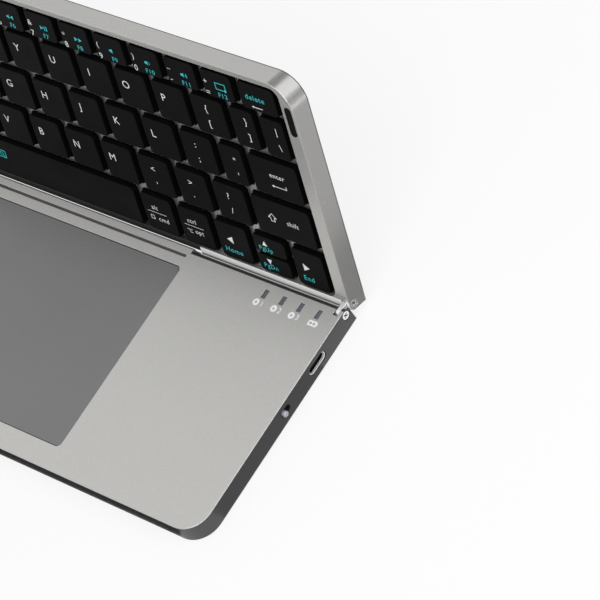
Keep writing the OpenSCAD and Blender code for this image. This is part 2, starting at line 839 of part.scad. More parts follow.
module keyboard_cover_screws() color(steel) in_keyboard_half() {
    at_cover_screws(keyboard_screw_places) cover_screw();
}

module keyboard_feet() color(rubber) in_keyboard_half() {
    for (side = [-1, 1], s = [round_foot_s, half_reach - foot_inset])
        translate([side * foot_l / 2, s, bottom_z - foot_t]) cylinder(d = round_foot_d, h = foot_t);
}

// ---- Keys ----

// A keycap whose top face is w by l, with its near left corner at [x, s]
module keycap(x, s, w, l) color(black) in_keyboard_half() translate([x, s, key_foot_z]) {
    difference() {
        keycap_body(w, l);
        translate([key_side_t, key_side_t, -past])
            cube([w - 2 * key_side_t, l - 2 * key_side_t, key_h - key_top_t + past]);
    }
    translate([w / 2, l / 2, stem_end_z - key_foot_z])
        cylinder(d = min(stem_d, l - 2 * key_side_t - 1),
            h = key_h - key_top_t / 2 - (stem_end_z - key_foot_z), $fn = 24);
}

// Upright rounded block, cut to the slope of the sides in both directions
module keycap_body(w, l) {
    f = key_flare;
    intersection() {
        translate([-f, -f, 0]) linear_extrude(key_h) rounded_rect(w + 2 * f, l + 2 * f, key_r);
        translate([0, l + 2 * f, 0]) rotate([90, 0, 0]) linear_extrude(l + 4 * f)
            polygon([[-f, 0], [w + f, 0], [w, key_h], [0, key_h]]);
        translate([-2 * f, 0, 0]) rotate([90, 0, 90]) linear_extrude(w + 4 * f)
            polygon([[-f, 0], [l + f, 0], [l, key_h], [0, key_h]]);
    }
}

// The key at the left end of a row, and the one at its right end
module left_end_key(row) {
    keycap(-field_x, row_s(row), row_start[row] - key_gap_x, row_l(row));
}

module right_end_key(row) {
    keycap(chars_end(row), row_s(row), field_x - chars_end(row), row_l(row));
}

module character_keys(row) {
    for (i = [0 : row_count[row] - 1])
        keycap(char_x(row, i), row_s(row), char_w(row), row_l(row));
    if (is_narrow_row(row))
        keycap(char_x(row, row_count[row]), row_s(row), narrow_w, row_l(row));
}

// Keys left of the space bar, and right of it, counted from the left
module lower_left_key(i) {
    keycap(-field_x + i * key_pitch, first_row_s, key_w, key_l);
}

module lower_right_key(i) {
    keycap(right_x(i), first_row_s, i == 4 ? last_arrow_w : key_w, key_l);
}

// Up or down arrow, each half of a key's length
module half_arrow_key(upper) {
    l = (key_l - arrow_gap) / 2;
    keycap(right_x(3), first_row_s + (upper ? l + arrow_gap : 0), key_w, l);
}

module key_esc() left_end_key(4);
module key_delete() right_end_key(4);
module key_tab() left_end_key(3);
module key_backslash() right_end_key(3);
module key_caps_lock() left_end_key(2);
module key_enter() right_end_key(2);
module key_shift_left() left_end_key(1);
module key_shift_right() right_end_key(1);
module key_fn() lower_left_key(0);
module key_control_left() lower_left_key(1);
module key_option_left() lower_left_key(2);
module key_command_left() lower_left_key(3);
module key_space() keycap(char_x(0, 0), first_row_s, right_x(0) - key_gap_x - char_x(0, 0), key_l);
module key_command_right() lower_right_key(0);
module key_option_right() lower_right_key(1);
module key_arrow_left() lower_right_key(2);
module key_arrow_up() half_arrow_key(true);
module key_arrow_down() half_arrow_key(false);
module key_arrow_right() lower_right_key(4);
module keys_numbers() character_keys(4);
module keys_upper_letters() character_keys(3);
module keys_home_letters() character_keys(2);
module keys_lower_letters() character_keys(1);

// ---- Nodes ----

base_tray();
base_top_plate();
base_bottom_cover();
touchpad_bracket();
main_board();
status_leds();
led_light_pipes();
usb_c_receptacle();
power_switch_body();
battery_pack();
base_pivot_screws();
base_pivot_inserts();
base_friction_washers();
base_magnets();
base_cover_screws();
base_feet();
touchpad_glass();
touchpad_board();
power_switch_knob();
hinge_links();
keyboard_frame();
key_deck();
dome_sheet();
contact_membrane();
key_backplate();
keyboard_bottom_cover();
keyboard_hinge_cover();
rim_pads();
keyboard_pivot_screws();
keyboard_pivot_inserts();
keyboard_friction_washers();
keyboard_magnets();
keyboard_cover_screws();
keyboard_feet();
key_esc();
key_delete();
key_tab();
key_backslash();
key_caps_lock();
key_enter();
key_shift_left();
key_shift_right();
key_fn();
key_control_left();
key_option_left();
key_command_left();
key_space();
key_command_right();
key_option_right();
key_arrow_left();
key_arrow_up();
key_arrow_down();
key_arrow_right();
keys_numbers();
keys_upper_letters();
keys_home_letters();
keys_lower_letters();
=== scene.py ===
"""Folding keyboard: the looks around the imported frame, laid out as an add-on.

The touchpad half lies level and the keyboard half stands open above it. Pieces of the touchpad half
are placed in the row frame. Pieces of the keyboard half are made flat in the half's own frame, with
x across, y along the half from its pivot and z up from the pivot, and then tilted into place.
"""
import json
import math
from collections import namedtuple
from contextlib import contextmanager

import bpy
from bpy.props import FloatProperty, FloatVectorProperty, PointerProperty
from mathutils import Matrix, Vector

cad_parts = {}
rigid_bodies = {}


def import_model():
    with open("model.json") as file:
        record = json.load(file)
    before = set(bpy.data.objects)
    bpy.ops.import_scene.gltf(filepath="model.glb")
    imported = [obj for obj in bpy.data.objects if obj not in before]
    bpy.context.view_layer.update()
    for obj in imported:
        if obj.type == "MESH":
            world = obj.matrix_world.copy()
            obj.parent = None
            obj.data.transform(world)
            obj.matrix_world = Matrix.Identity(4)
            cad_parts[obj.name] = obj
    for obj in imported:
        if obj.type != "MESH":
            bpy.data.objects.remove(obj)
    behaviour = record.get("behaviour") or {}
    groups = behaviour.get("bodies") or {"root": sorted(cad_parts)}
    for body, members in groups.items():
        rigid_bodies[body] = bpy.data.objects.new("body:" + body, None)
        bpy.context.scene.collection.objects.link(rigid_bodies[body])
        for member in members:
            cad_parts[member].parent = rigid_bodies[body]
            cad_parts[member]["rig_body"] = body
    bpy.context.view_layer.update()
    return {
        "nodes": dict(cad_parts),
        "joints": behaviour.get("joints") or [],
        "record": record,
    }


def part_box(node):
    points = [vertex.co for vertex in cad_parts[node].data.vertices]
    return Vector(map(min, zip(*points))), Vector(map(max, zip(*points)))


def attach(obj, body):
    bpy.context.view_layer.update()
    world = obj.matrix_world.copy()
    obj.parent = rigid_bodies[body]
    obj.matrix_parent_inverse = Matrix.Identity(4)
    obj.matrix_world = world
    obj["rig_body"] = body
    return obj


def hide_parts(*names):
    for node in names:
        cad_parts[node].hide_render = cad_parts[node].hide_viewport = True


bl_info = {
    "name": "Folding Keyboard",
    "version": (1, 0, 0),
    "blender": (4, 5, 0),
    "location": "View3D > Sidebar > Keyboard",
    "description": "Finishes the shells, hinge, touchpad, keys and legends of a folding keyboard",
    "category": "Object",
}

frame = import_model()

MM = 0.001
WHITE = "white"
TEAL = "teal"

JOINTS = {joint["name"]: joint for joint in frame["joints"]}
BASE_PIVOT = Vector(JOINTS["link_fold"]["pos_m"])
KEYBOARD_PIVOT = Vector(JOINTS["keyboard_fold"]["pos_m"])
OPEN_TILT = -math.radians(JOINTS["keyboard_fold"]["range_deg"][0])
KEYBOARD_PLACE = Matrix.Translation(KEYBOARD_PIVOT) @ Matrix.Rotation(OPEN_TILT, 4, "X")
KEYBOARD_FLAT = KEYBOARD_PLACE.inverted()
PLATE_LOW, PLATE_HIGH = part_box("base_top_plate")
BASE_TOP = PLATE_HIGH.z
SIDE_X = PLATE_HIGH.x
UP = Vector((0, 0, 1))
KEYBOARD_ALONG = KEYBOARD_PLACE.to_3x3() @ Vector((0, 1, 0))
KEYBOARD_OUT = KEYBOARD_PLACE.to_3x3() @ UP
FRAME_BACK = min((KEYBOARD_FLAT @ vertex.co).z
                 for vertex in frame["nodes"]["keyboard_frame"].data.vertices)


# -------- settings

def a_colour(name, description, default):
    return FloatVectorProperty(name=name, description=description, subtype="COLOR", size=3,
                               min=0, max=1, default=default)


def a_length(name, description, low, high, default):
    """A length in millimetres."""
    return FloatProperty(name=name, description=description, unit="LENGTH", min=low * MM,
                         max=high * MM, default=default * MM)


def an_angle(name, description, default):
    return FloatProperty(name=name, description=description, subtype="ANGLE",
                         default=math.radians(default))


class KB_Shells(bpy.types.PropertyGroup):
    aluminium: a_colour("Aluminium", "Colour of the light anodised shells", (0.535, 0.53, 0.515))
    # Dark tray colour: partly a graphite anodising and partly painted shade on the tray's walls
    graphite_and_shade: a_colour("Graphite", "Colour of the dark tray under the top plate",
                       (0.014, 0.0145, 0.0165))
    grain: a_length("Blast grain", "Size of the blasted surface's grains", 0.02, 1, 0.22)
    edge: a_length("Edge", "Width of the softened edges of the shells", 0.02, 0.4, 0.12)


class KB_Keys(bpy.types.PropertyGroup):
    plastic: a_colour("Keycaps", "Colour of the keycaps", (0.0042, 0.0042, 0.0044))
    legend: a_colour("Legends", "Colour of the main legends", (0.80, 0.80, 0.80))
    second_legend: a_colour("Second legends", "Colour of the second legends", (0.02, 0.52, 0.56))
    round_edge: a_length("Key edge", "Radius of the edge around a keycap's top", 0.05, 0.8, 0.35)
    corner: a_length("Key corner", "Radius of a keycap's corners, seen from above", 0.5, 3, 1.7)
    print_height: a_length("Print", "Height of the printed legends above the keys",
                           0.01, 0.1, 0.02)


class KB_Touchpad(bpy.types.PropertyGroup):
    surface: a_colour("Surface", "Colour of the touchpad", (0.205, 0.205, 0.209))
    lights: a_colour("Lights", "Colour of the unlit status lights", (0.11, 0.106, 0.135))
    label_height: a_length("Label height", "Height of the marks beside the lights", 1, 3, 2.4)


class KB_Stage(bpy.types.PropertyGroup):
    azimuth: an_angle("Azimuth", "Turn of the camera from straight in front, to the right", 66.84)
    elevation: an_angle("Elevation", "Height angle of the camera above level", 47.31)
    roll: an_angle("Roll", "Turn of the camera about its own line of sight", -38.90)
    distance: a_length("Distance", "Distance from the camera to the right hinge",
                       300, 5000, 1096.23)
    hinge_right: a_length("Hinge to the right", "Offset of the right hinge in the picture plane",
                          -100, 100, 14.09)
    hinge_up: a_length("Hinge up", "Upward offset of the right hinge in the picture plane",
                       -100, 100, -3.83)
    lens: FloatProperty(
        name="Lens", description="Focal length in millimetres on a 36 mm sensor",
        min=20, max=400, default=202.0)
    sky: FloatProperty(
        name="Sky", description="Strength of the pale surroundings as a light",
        min=0, max=2, default=0.55)


# -------- modelling helpers

# Points closer than the first are welded, and faces that turn less than the second are joined
WELD = 0.002 * MM
FLAT_ANGLE = math.radians(0.4)
# Edges sharper than the first are rounded, and turns gentler than the second shade smoothly
BEVEL_ANGLE = math.radians(38)
SMOOTH_ANGLE = math.radians(35)
# Weight at which the largest faces alone set the shading
LARGEST_FACES = 100
# Widths of the rounded edges of small pieces
FINE_EDGE = 0.08 * MM
SMALL_EDGE = 0.12 * MM
SOFT_EDGE = 0.15 * MM
# Points and faces this close below a top belong to it
TOP_SKIN = 0.01 * MM
# Neighbouring points of one corner of a keycap are closer than this
CORNER_SPREAD = 2 * MM
# How far a keycap's foot stays off the domes when the key is down
FOOT_CLEARANCE = 0.03 * MM

KeyFace = namedtuple("KeyFace", "left right near far top foot")


def only(obj):
    """Leaves obj as the one selected and active object, in object mode."""
    if bpy.context.object and bpy.context.object.mode != "OBJECT":
        bpy.ops.object.mode_set(mode="OBJECT")
    bpy.ops.object.select_all(action="DESELECT")
    obj.select_set(True)
    bpy.context.view_layer.objects.active = obj
    return obj


@contextmanager
def editing():
    """Edit mode on the active object."""
    bpy.ops.object.mode_set(mode="EDIT")
    yield
    bpy.ops.object.mode_set(mode="OBJECT")


def select_where(obj, kind, test):
    """Selects the edges or the faces of an object that pass a test, and nothing else."""
    with editing():
        bpy.ops.mesh.select_mode(type=kind)
        bpy.ops.mesh.select_all(action="DESELECT")
    for part in obj.data.edges if kind == "EDGE" else obj.data.polygons:
        part.select = test(part)


def apply_modifier(obj, kind, **values):
    only(obj)
    modifier = obj.modifiers.new(kind.title(), kind)
    for key, value in values.items():
        setattr(modifier, key, value)
    bpy.ops.object.modifier_apply(modifier=modifier.name)


def smooth(obj, angle=SMOOTH_ANGLE):
    only(obj)
    bpy.ops.object.shade_smooth_by_angle(angle=angle)


def flatten_shading(obj):
    """Keeps the shading of large faces flat, so that only the rounded edges shade as round."""
    apply_modifier(obj, "WEIGHTED_NORMAL", keep_sharp=True, weight=LARGEST_FACES)


def tilt_into_place(obj):
    """Moves a flat piece to its place on the keyboard half, with the object untransformed."""
    obj.data.transform(KEYBOARD_PLACE @ obj.matrix_world)
    obj.matrix_world = Matrix.Identity(4)
    return obj


def join(objects):
    bpy.ops.object.select_all(action="DESELECT")
    for obj in objects:
        obj.select_set(True)
    bpy.context.view_layer.objects.active = objects[0]
    if len(objects) > 1:
        bpy.ops.object.join()
    return objects[0]


def paint(obj, material):
    """Gives an object one finish all over."""
    obj.data.materials.clear()
    obj.data.materials.append(material)


def finish_piece(obj, name, material, node, replace=False):
    """Names a piece, gives it its finish and lets it ride with a node."""
    obj.name = name
    obj.data.name = name
    paint(obj, material)
    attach(obj, frame["nodes"][node]["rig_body"])
    if replace:
        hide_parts(node)
    return obj


def slot_of(node):
    for part in frame["record"]["subparts"]:
        if part["node"] == node:
            return part["material_slot"]
    raise RuntimeError(f"no slot is recorded for {node}")


def softened_copy(node, material, edge, segments=2, cuts=()):
    """A welded copy of a CAD node with its flat faces joined and its edges rounded.

    Each cut is a point and a normal of a plane, along which the faces are divided, so that a
    stretch of a face can have a finish of its own.
    """
    copy = bpy.data.objects.new(node + "_finished", frame["nodes"][node].data.copy())
    bpy.context.scene.collection.objects.link(copy)
    only(copy)
    with editing():
        bpy.ops.mesh.select_all(action="SELECT")
        bpy.ops.mesh.remove_doubles(threshold=WELD)
        bpy.ops.mesh.dissolve_limited(angle_limit=FLAT_ANGLE)
        for point, normal in cuts:
            bpy.ops.mesh.select_all(action="SELECT")
            bpy.ops.mesh.bisect(plane_co=point, plane_no=normal)
    apply_modifier(copy, "BEVEL", width=edge, segments=segments, limit_method="ANGLE",
                   angle_limit=BEVEL_ANGLE, use_clamp_overlap=True)
    smooth(copy)
    flatten_shading(copy)
    return finish_piece(copy, node + "_finished", material, node, replace=True)


def finish_faces(piece, material, test, turn=None):
    """Gives the faces whose centre and normal pass a test a second finish.

    With a turn, the test sees them in the frame that the turn leads to.
    """
    piece.data.materials.append(material)
    last = len(piece.data.materials) - 1
    turn = turn or Matrix.Identity(4)
    for polygon in piece.data.polygons:
        if test(turn @ polygon.center, turn.to_3x3() @ polygon.normal):
            polygon.material_index = last


def key_faces(node):
    """Top faces of the keycaps of a node, left to right, in the keyboard half's flat frame."""
    points = [KEYBOARD_FLAT @ vertex.co for vertex in frame["nodes"][node].data.vertices]
    top = max(point.z for point in points)
    foot = min(point.z for point in points) + FOOT_CLEARANCE
    face = sorted((point.x, point.y) for point in points if point.z > top - TOP_SKIN)
    ends = [[face[0]]]
    for point in face[1:]:
        if point[0] - ends[-1][-1][0] > CORNER_SPREAD:
            ends.append([])
        ends[-1].append(point)
    near = min(y for _, y in face)
    far = max(y for _, y in face)
    return [
        KeyFace(left[0][0], right[-1][0], near, far, top, foot)
        for left, right in zip(ends[0::2], ends[1::2])]


# -------- shader helpers

# The grain's second noise: its scale beside the first, and the share of each in the height
COARSE_SCALE = 0.37
FINE_SHARE = 0.65
COARSE_SHARE = 0.35

GROUPS = {}
MATERIALS = {}


def math_node(tree, operation, a, b, clamp=False):
    node = tree.nodes.new("ShaderNodeMath")
    node.operation = operation
    node.use_clamp = clamp
    for socket, value in zip(node.inputs, (a, b)):
        if isinstance(value, (int, float)):
            socket.default_value = value
        else:
            tree.links.new(value, socket)
    return node.outputs[0]


def noise_node(tree, coordinates, scale, detail, roughness=0.5):
    node = tree.nodes.new("ShaderNodeTexNoise")
    node.inputs["Detail"].default_value = detail
    node.inputs["Roughness"].default_value = roughness
    tree.links.new(coordinates, node.inputs["Vector"])
    tree.links.new(scale, node.inputs["Scale"])
    return node.outputs["Fac"]


def mask_above(tree, value, low, gain):
    """A mask that is 0 up to a low value and rises from there, by a gain, to 1."""
    return math_node(tree, "MULTIPLY", math_node(tree, "SUBTRACT", value, low), gain, True)


def new_group(name, size_name, size, outputs):
    """A group with one size in: its tree, its coordinates, the scale of the size, and its end."""
    group = bpy.data.node_groups.new(name, "ShaderNodeTree")
    socket = group.interface.new_socket(size_name, in_out="INPUT", socket_type="NodeSocketFloat")
    socket.default_value = size
    for label in outputs:
        group.interface.new_socket(label, in_out="OUTPUT", socket_type="NodeSocketFloat")
    start = group.nodes.new("NodeGroupInput")
    where = group.nodes.new("ShaderNodeTexCoord").outputs["Object"]
    scale = math_node(group, "DIVIDE", 1.0, start.outputs[size_name])
    return group, where, scale, group.nodes.new("NodeGroupOutput")


def grain_group():
    """Fine blasted or moulded grain: Grain Size in metres in, a height and a speckle mask out."""
    group, where, scale, end = new_group(
        "Fine grain", "Grain Size", 0.2 * MM, ["Height", "Speckle"])
    fine = noise_node(group, where, scale, detail=2.0)
    coarse_scale = math_node(group, "MULTIPLY", scale, COARSE_SCALE)
    coarse = noise_node(group, where, coarse_scale, detail=1.0)
    blend = math_node(group, "ADD", math_node(group, "MULTIPLY", fine, FINE_SHARE),
                      math_node(group, "MULTIPLY", coarse, COARSE_SHARE))
    group.links.new(blend, end.inputs["Height"])
    group.links.new(mask_above(group, blend, low=0.38, gain=4.0), end.inputs["Speckle"])
    return group


def handling_group():
    """Soft cloudy mask of handled areas: Patch Size in metres in, a mask out."""
    group, where, scale, end = new_group("Handling", "Patch Size", 30 * MM, ["Mask"])
    cloud = noise_node(group, where, scale, detail=4.0, roughness=0.55)
    group.links.new(mask_above(group, cloud, low=0.35, gain=3.2), end.inputs["Mask"])
    return group


def add_group(tree, maker, value):
    """Places a shared group in a material, and makes it at its first use."""
    if maker not in GROUPS:
        GROUPS[maker] = maker()
    node = tree.nodes.new("ShaderNodeGroup")
    node.node_tree = GROUPS[maker]
    node.inputs[0].default_value = value
    return node


def mix_values(tree, mask, low, high):
    node = tree.nodes.new("ShaderNodeMapRange")
    node.inputs["To Min"].default_value = low
    node.inputs["To Max"].default_value = high
    tree.links.new(mask, node.inputs["Value"])
    return node.outputs["Result"]


def mix_colours(tree, mask, low, high):
    node = tree.nodes.new("ShaderNodeMix")
    node.data_type = "RGBA"
    tree.links.new(mask, node.inputs["Factor"])
    node.inputs["A"].default_value = (*low, 1)
    node.inputs["B"].default_value = (*high, 1)
    return node.outputs["Result"]


def shade(colour, factor):
    return tuple(min(1.0, channel * factor) for channel in colour)


def new_material(name):
    material = bpy.data.materials.new(name)
    material.use_nodes = True
    return material


def surface(name, colour, rough, metallic=0.0, grain=0.2 * MM, bump=0.02, contrast=0.06,
            patch=40 * MM, rough_spread=0.05, specular=0.5):
    """A finish: speckled colour, roughness that varies with handling, and a bump in mm."""
    if name in MATERIALS:
        return MATERIALS[name]
    material = new_material(name)
    tree = material.node_tree
    shader = tree.nodes["Principled BSDF"]
    shader.inputs["Metallic"].default_value = metallic
    shader.inputs["Specular IOR Level"].default_value = specular
    speckles = add_group(tree, grain_group, grain)
    handled = add_group(tree, handling_group, patch)
    tint = mix_colours(tree, speckles.outputs["Speckle"],
                       shade(colour, 1 - contrast), shade(colour, 1 + contrast))
    tree.links.new(tint, shader.inputs["Base Color"])
    spread = mix_values(tree, handled.outputs["Mask"],
                        rough - rough_spread / 2, rough + rough_spread / 2)
    tree.links.new(spread, shader.inputs["Roughness"])
    bump_node = tree.nodes.new("ShaderNodeBump")
    bump_node.inputs["Strength"].default_value = 1.0
    bump_node.inputs["Distance"].default_value = bump * MM
    tree.links.new(speckles.outputs["Height"], bump_node.inputs["Height"])
    tree.links.new(bump_node.outputs["Normal"], shader.inputs["Normal"])
    MATERIALS[name] = material
    return material


def aluminium():
    look = bpy.context.scene.keyboard_shells
    return surface("Blasted aluminium", look.aluminium, rough=0.42, metallic=1.0,
                   grain=look.grain, bump=0.006, contrast=0.05, rough_spread=0.03)


def frame_aluminium():
    look = bpy.context.scene.keyboard_shells
    return surface("Satin aluminium frame", shade(look.aluminium, 1.2), rough=0.27,
                   metallic=0.75, grain=look.grain, bump=0.004, contrast=0.05, rough_spread=0.03)


# Bright cut metal, also painted as a highlight on the plate's lip and along the tray's hinge end
def cut_edge_and_highlight():
    return surface("Cut aluminium edge and painted highlight", (0.6, 0.6, 0.59), rough=0.3, metallic=0.8,
                   grain=0.1 * MM, bump=0.002, contrast=0.03)


# Near white painted on the frame's strip by the hinge: a painted highlight
def painted_hinge_highlight():
    return surface("Painted highlight strip", (0.97, 0.97, 0.955), rough=0.38, grain=0.1 * MM,
                   bump=0.002, contrast=0.03)


# A duller, darker copy of the plate's aluminium for the tongue's chamfer: painted shade
def tongue_edge_shade():
    return surface("Tongue edge with painted shade", (0.4, 0.4, 0.39), rough=0.5, metallic=0.2,
                   grain=0.15 * MM, bump=0.003, contrast=0.04)


# Near black painted where shade falls: gaps, recesses, the port's inside, hidden sides
def painted_shade():
    return surface("Painted shade", (0.006, 0.006, 0.006), rough=0.7, grain=0.12 * MM, specular=0.1)


# Grey painted into the tongue's groove as the shade in it
def groove_shadow():
    return surface("Painted groove shade", (0.085, 0.081, 0.077), rough=0.6, grain=0.12 * MM,
                   specular=0.3)


# Dark tray finish, partly graphite anodising and partly painted shade on the walls
def graphite_and_shade():
    look = bpy.context.scene.keyboard_shells
    return surface("Graphite anodising and painted shade", look.graphite_and_shade, rough=0.42, grain=look.grain,
                   bump=0.006, contrast=0.12, rough_spread=0.06, specular=1.0)


def keycap_plastic():
    look = bpy.context.scene.keyboard_keys
    return surface("Textured keycap plastic", look.plastic, rough=0.5, grain=0.16 * MM,
                   bump=0.006, contrast=0.18, patch=12 * MM, rough_spread=0.1, specular=0.05)


# A darker copy of the keycap plastic on the keys' sides: painted shade between the keys
def keycap_side_shade():
    look = bpy.context.scene.keyboard_keys
    return surface("Keycap sides with painted shade", shade(look.plastic, 0.35), rough=0.6, grain=0.16 * MM,
                   bump=0.004, contrast=0.18, patch=12 * MM, specular=0.03)


def mark_ink():
    return surface("White mark ink", (0.95, 0.95, 0.95), rough=0.5, grain=0.3 * MM,
                   contrast=0.02)


def legend_ink():
    look = bpy.context.scene.keyboard_keys
    return surface("White legend ink", look.legend, rough=0.5, grain=0.3 * MM, contrast=0.04)


def second_legend_ink():
    look = bpy.context.scene.keyboard_keys
    return surface("Teal legend ink", look.second_legend, rough=0.5, grain=0.3 * MM,
                   contrast=0.06)


def polished_steel():
    return surface("Polished steel", (0.86, 0.86, 0.87), rough=0.18, metallic=0.72,
                   grain=0.1 * MM, bump=0.003, rough_spread=0.08)


def black_plastic():
    return surface("Black moulded plastic", (0.022, 0.022, 0.023), rough=0.5, grain=0.15 * MM,
                   bump=0.008, contrast=0.15)


def deck_plastic():
    return surface("Key deck", (0.6, 0.595, 0.58), rough=0.3, metallic=1.0, grain=0.15 * MM,
                   bump=0.006, contrast=0.06)


def rubber():
    return surface("Matte rubber", (0.006, 0.006, 0.006), rough=0.8, grain=0.12 * MM,
                   bump=0.012, contrast=0.2, specular=0.05)


# Finish of each slot of the nodes that keep their own mesh: name, colour, roughness, metallic
INSIDE_FINISHES = {
    "circuit_board": ("Solder mask", (0.02, 0.12, 0.06), 0.35, 0.0),
    "spring_steel": ("Spring steel", (0.5, 0.5, 0.5), 0.35, 1.0),
    "insert_brass": ("Turned brass", (0.62, 0.46, 0.18), 0.3, 1.0),
    "clear_plastic": ("Frosted plastic", (0.7, 0.71, 0.72), 0.4, 0.0),
    "battery_foil": ("Battery foil", (0.42, 0.44, 0.47), 0.4, 1.0),
    "silicone": ("Silicone", (0.55, 0.55, 0.53), 0.6, 0.0),
    "dark_screws": ("Blackened screws", (0.03, 0.03, 0.03), 0.35, 0.8),
    "bright_steel": ("Polished steel inside", (0.7, 0.7, 0.71), 0.25, 1.0),
}


# -------- pieces

# Where the shells' finishes and painted light change, in the row frame or the half's flat frame
WINDOW_NEAR = 2.0 * MM
STRIP_LOW = 1.2 * MM
BACK_BAND = 0.3 * MM
OUTER_BAND = 0.6 * MM
PLATE_LIP = 0.31 * MM
CORNER_RADIUS = 9.5 * MM
TONGUE_HALF = 53.5 * MM
GROOVE_Y = BASE_PIVOT.y - 1.4 * MM
GROOVE_HALF = 0.56 * MM
GROOVE_TOP = BASE_TOP - 0.03 * MM
GROOVE_FLOOR = BASE_TOP - 0.7 * MM
# Shares of a face's normal along an axis
LEVEL = 0.99
STEEP = 0.5
STRIP_RISE = 0.91
GAP_TURN = 0.2
BACK_LEVEL = -0.95
# Faces that look up and back: least and greatest share upwards, and least share backwards
END_HIGHLIGHT = (0.6, 0.82, 0.5)
CHAMFER = (0.5, 0.9, 0.4)
# Cross recess of a pivot screw: how deep its head lies in the side, the recess's depths below
# that, its reach from the pivot, and the shares of its floor's and walls' normals along x
HEAD_SUNK = 0.15 * MM
RECESS_MOUTH = 0.13 * MM
RECESS_WALL_END = 0.44 * MM
RECESS_FLOOR = 0.5 * MM
RECESS_REACH = 1.35 * MM
RECESS_FLOOR_SHARE = 0.7
RECESS_WALL_SHARE = 0.2
# Status lights: their count and width, how far they lie in the plate, and where the marks stand
LIGHTS = 4
LIGHT_WIDTH = 1.75 * MM
LIGHTS_DOWN = 0.2 * MM
MARKS_NEARER = 2.0 * MM
MARKS_LIFT = 0.01 * MM
# Depth to which light reaches the bright shell of the port
MOUTH_DEPTH = 0.9 * MM


class KB_OT_Shells(bpy.types.Operator):
    """Shells, covers and the key deck, with softened edges"""
    bl_idname = "keyboard.shells"
    bl_label = "Shells"

    def execute(self, context):
        look = context.scene.keyboard_shells
        plate = softened_copy("base_top_plate", aluminium(), look.edge)
        # Painted highlight on the lip, painted shade in the groove and on the tongue's chamfer
        finish_faces(plate, cut_edge_and_highlight(), on_plate_lip)
        finish_faces(plate, groove_shadow(), in_tongue_groove)
        finish_faces(plate, tongue_edge_shade(), on_tongue_chamfer)
        window_edge = KEYBOARD_PLACE @ Vector((0, WINDOW_NEAR, 0))
        back_line = KEYBOARD_PLACE @ Vector((0, 0, FRAME_BACK + BACK_BAND))
        half = softened_copy("keyboard_frame", frame_aluminium(), look.edge,
                             cuts=[(window_edge, KEYBOARD_ALONG), (back_line, KEYBOARD_OUT)])
        # Painted highlight on the hinge strip, painted shade under it and along the back edge
        finish_faces(half, painted_hinge_highlight(), on_hinge_strip, KEYBOARD_FLAT)
        finish_faces(half, painted_shade(), under_hinge_strip, KEYBOARD_FLAT)
        finish_faces(half, painted_shade(), on_back_edge, KEYBOARD_FLAT)
        # The tray's dark finish is partly painted shade
        tray = softened_copy("base_tray", graphite_and_shade(), look.edge)
        # A painted highlight along the tray's hinge end
        finish_faces(tray, cut_edge_and_highlight(), on_hinge_end_highlight)
        softened_copy("base_bottom_cover", graphite_and_shade(), look.edge)
        softened_copy("keyboard_bottom_cover", aluminium(), look.edge)
        softened_copy("keyboard_hinge_cover", black_plastic(), look.edge)
        softened_copy("key_deck", deck_plastic(), look.edge, segments=1)
        return {"FINISHED"}


def on_plate_lip(centre, normal):
    """The bright cut edge round the top plate, outside the openings, partly a painted highlight."""
    outside = (abs(centre.x) > SIDE_X - OUTER_BAND or centre.y < PLATE_LOW.y + OUTER_BAND
               or near_front_corner(centre))
    on_top = normal.z > LEVEL and centre.z > BASE_TOP - TOP_SKIN
    return outside and centre.z > BASE_TOP - PLATE_LIP and not on_top


def near_front_corner(centre):
    """Beyond the round of a front corner of the top plate, less the band."""
    along = abs(centre.x) - (SIDE_X - CORNER_RADIUS)
    out = PLATE_LOW.y + CORNER_RADIUS - centre.y
    return along > 0 and out > 0 and math.hypot(along, out) > CORNER_RADIUS - OUTER_BAND


def in_tongue_groove(centre, normal):
    """The floor and walls of the groove along the tongue, painted grey as the shade in it."""
    return (GROOVE_FLOOR < centre.z < GROOVE_TOP and abs(centre.x) < TONGUE_HALF
            and abs(centre.y - GROOVE_Y) < GROOVE_HALF)


def on_hinge_strip(centre, normal):
    """The frame's front between the keys and the hinge, painted near white as its highlight."""
    return centre.y < WINDOW_NEAR and centre.z > STRIP_LOW and normal.z > STRIP_RISE


def under_hinge_strip(centre, normal):
    """The frame's round end below the strip, into the gap, painted dark as the shade there."""
    return centre.y < 0 and GAP_TURN < normal.z <= STRIP_RISE and normal.y < -GAP_TURN


def looks_back(normal, low, high, back):
    return low < normal.z < high and normal.y > back


def on_hinge_end_highlight(centre, normal):
    """A painted highlight along the round end of the tray, where the gap begins."""
    return centre.y > BASE_PIVOT.y and looks_back(normal, *END_HIGHLIGHT)


def on_tongue_chamfer(centre, normal):
    """The sloped rear edge of the tongue, painted a duller, darker aluminium as shade."""
    return (abs(centre.x) < TONGUE_HALF + MM and centre.y > BASE_PIVOT.y
            and looks_back(normal, *CHAMFER))


def on_back_edge(centre, normal):
    """The thin line where the frame's side wall turns to its back, painted dark as shade."""
    return centre.z < FRAME_BACK + BACK_BAND and normal.z > BACK_LEVEL and centre.y > 0


def off_the_top(centre, normal):
    """The sides and the underside of a piece."""
    return normal.z < STEEP


class KB_OT_Hinge(bpy.types.Operator):
    """Link bars and pivot screws"""
    bl_idname = "keyboard.hinge"
    bl_label = "Hinge"

    def execute(self, context):
        softened_copy("hinge_links", polished_steel(), SMALL_EDGE)
        for node in ("base_pivot_screws", "keyboard_pivot_screws"):
            screws = softened_copy(node, polished_steel(), SMALL_EDGE)
            # Painted shade in the cross recesses
            finish_faces(screws, painted_shade(), in_screw_recess)
        return {"FINISHED"}


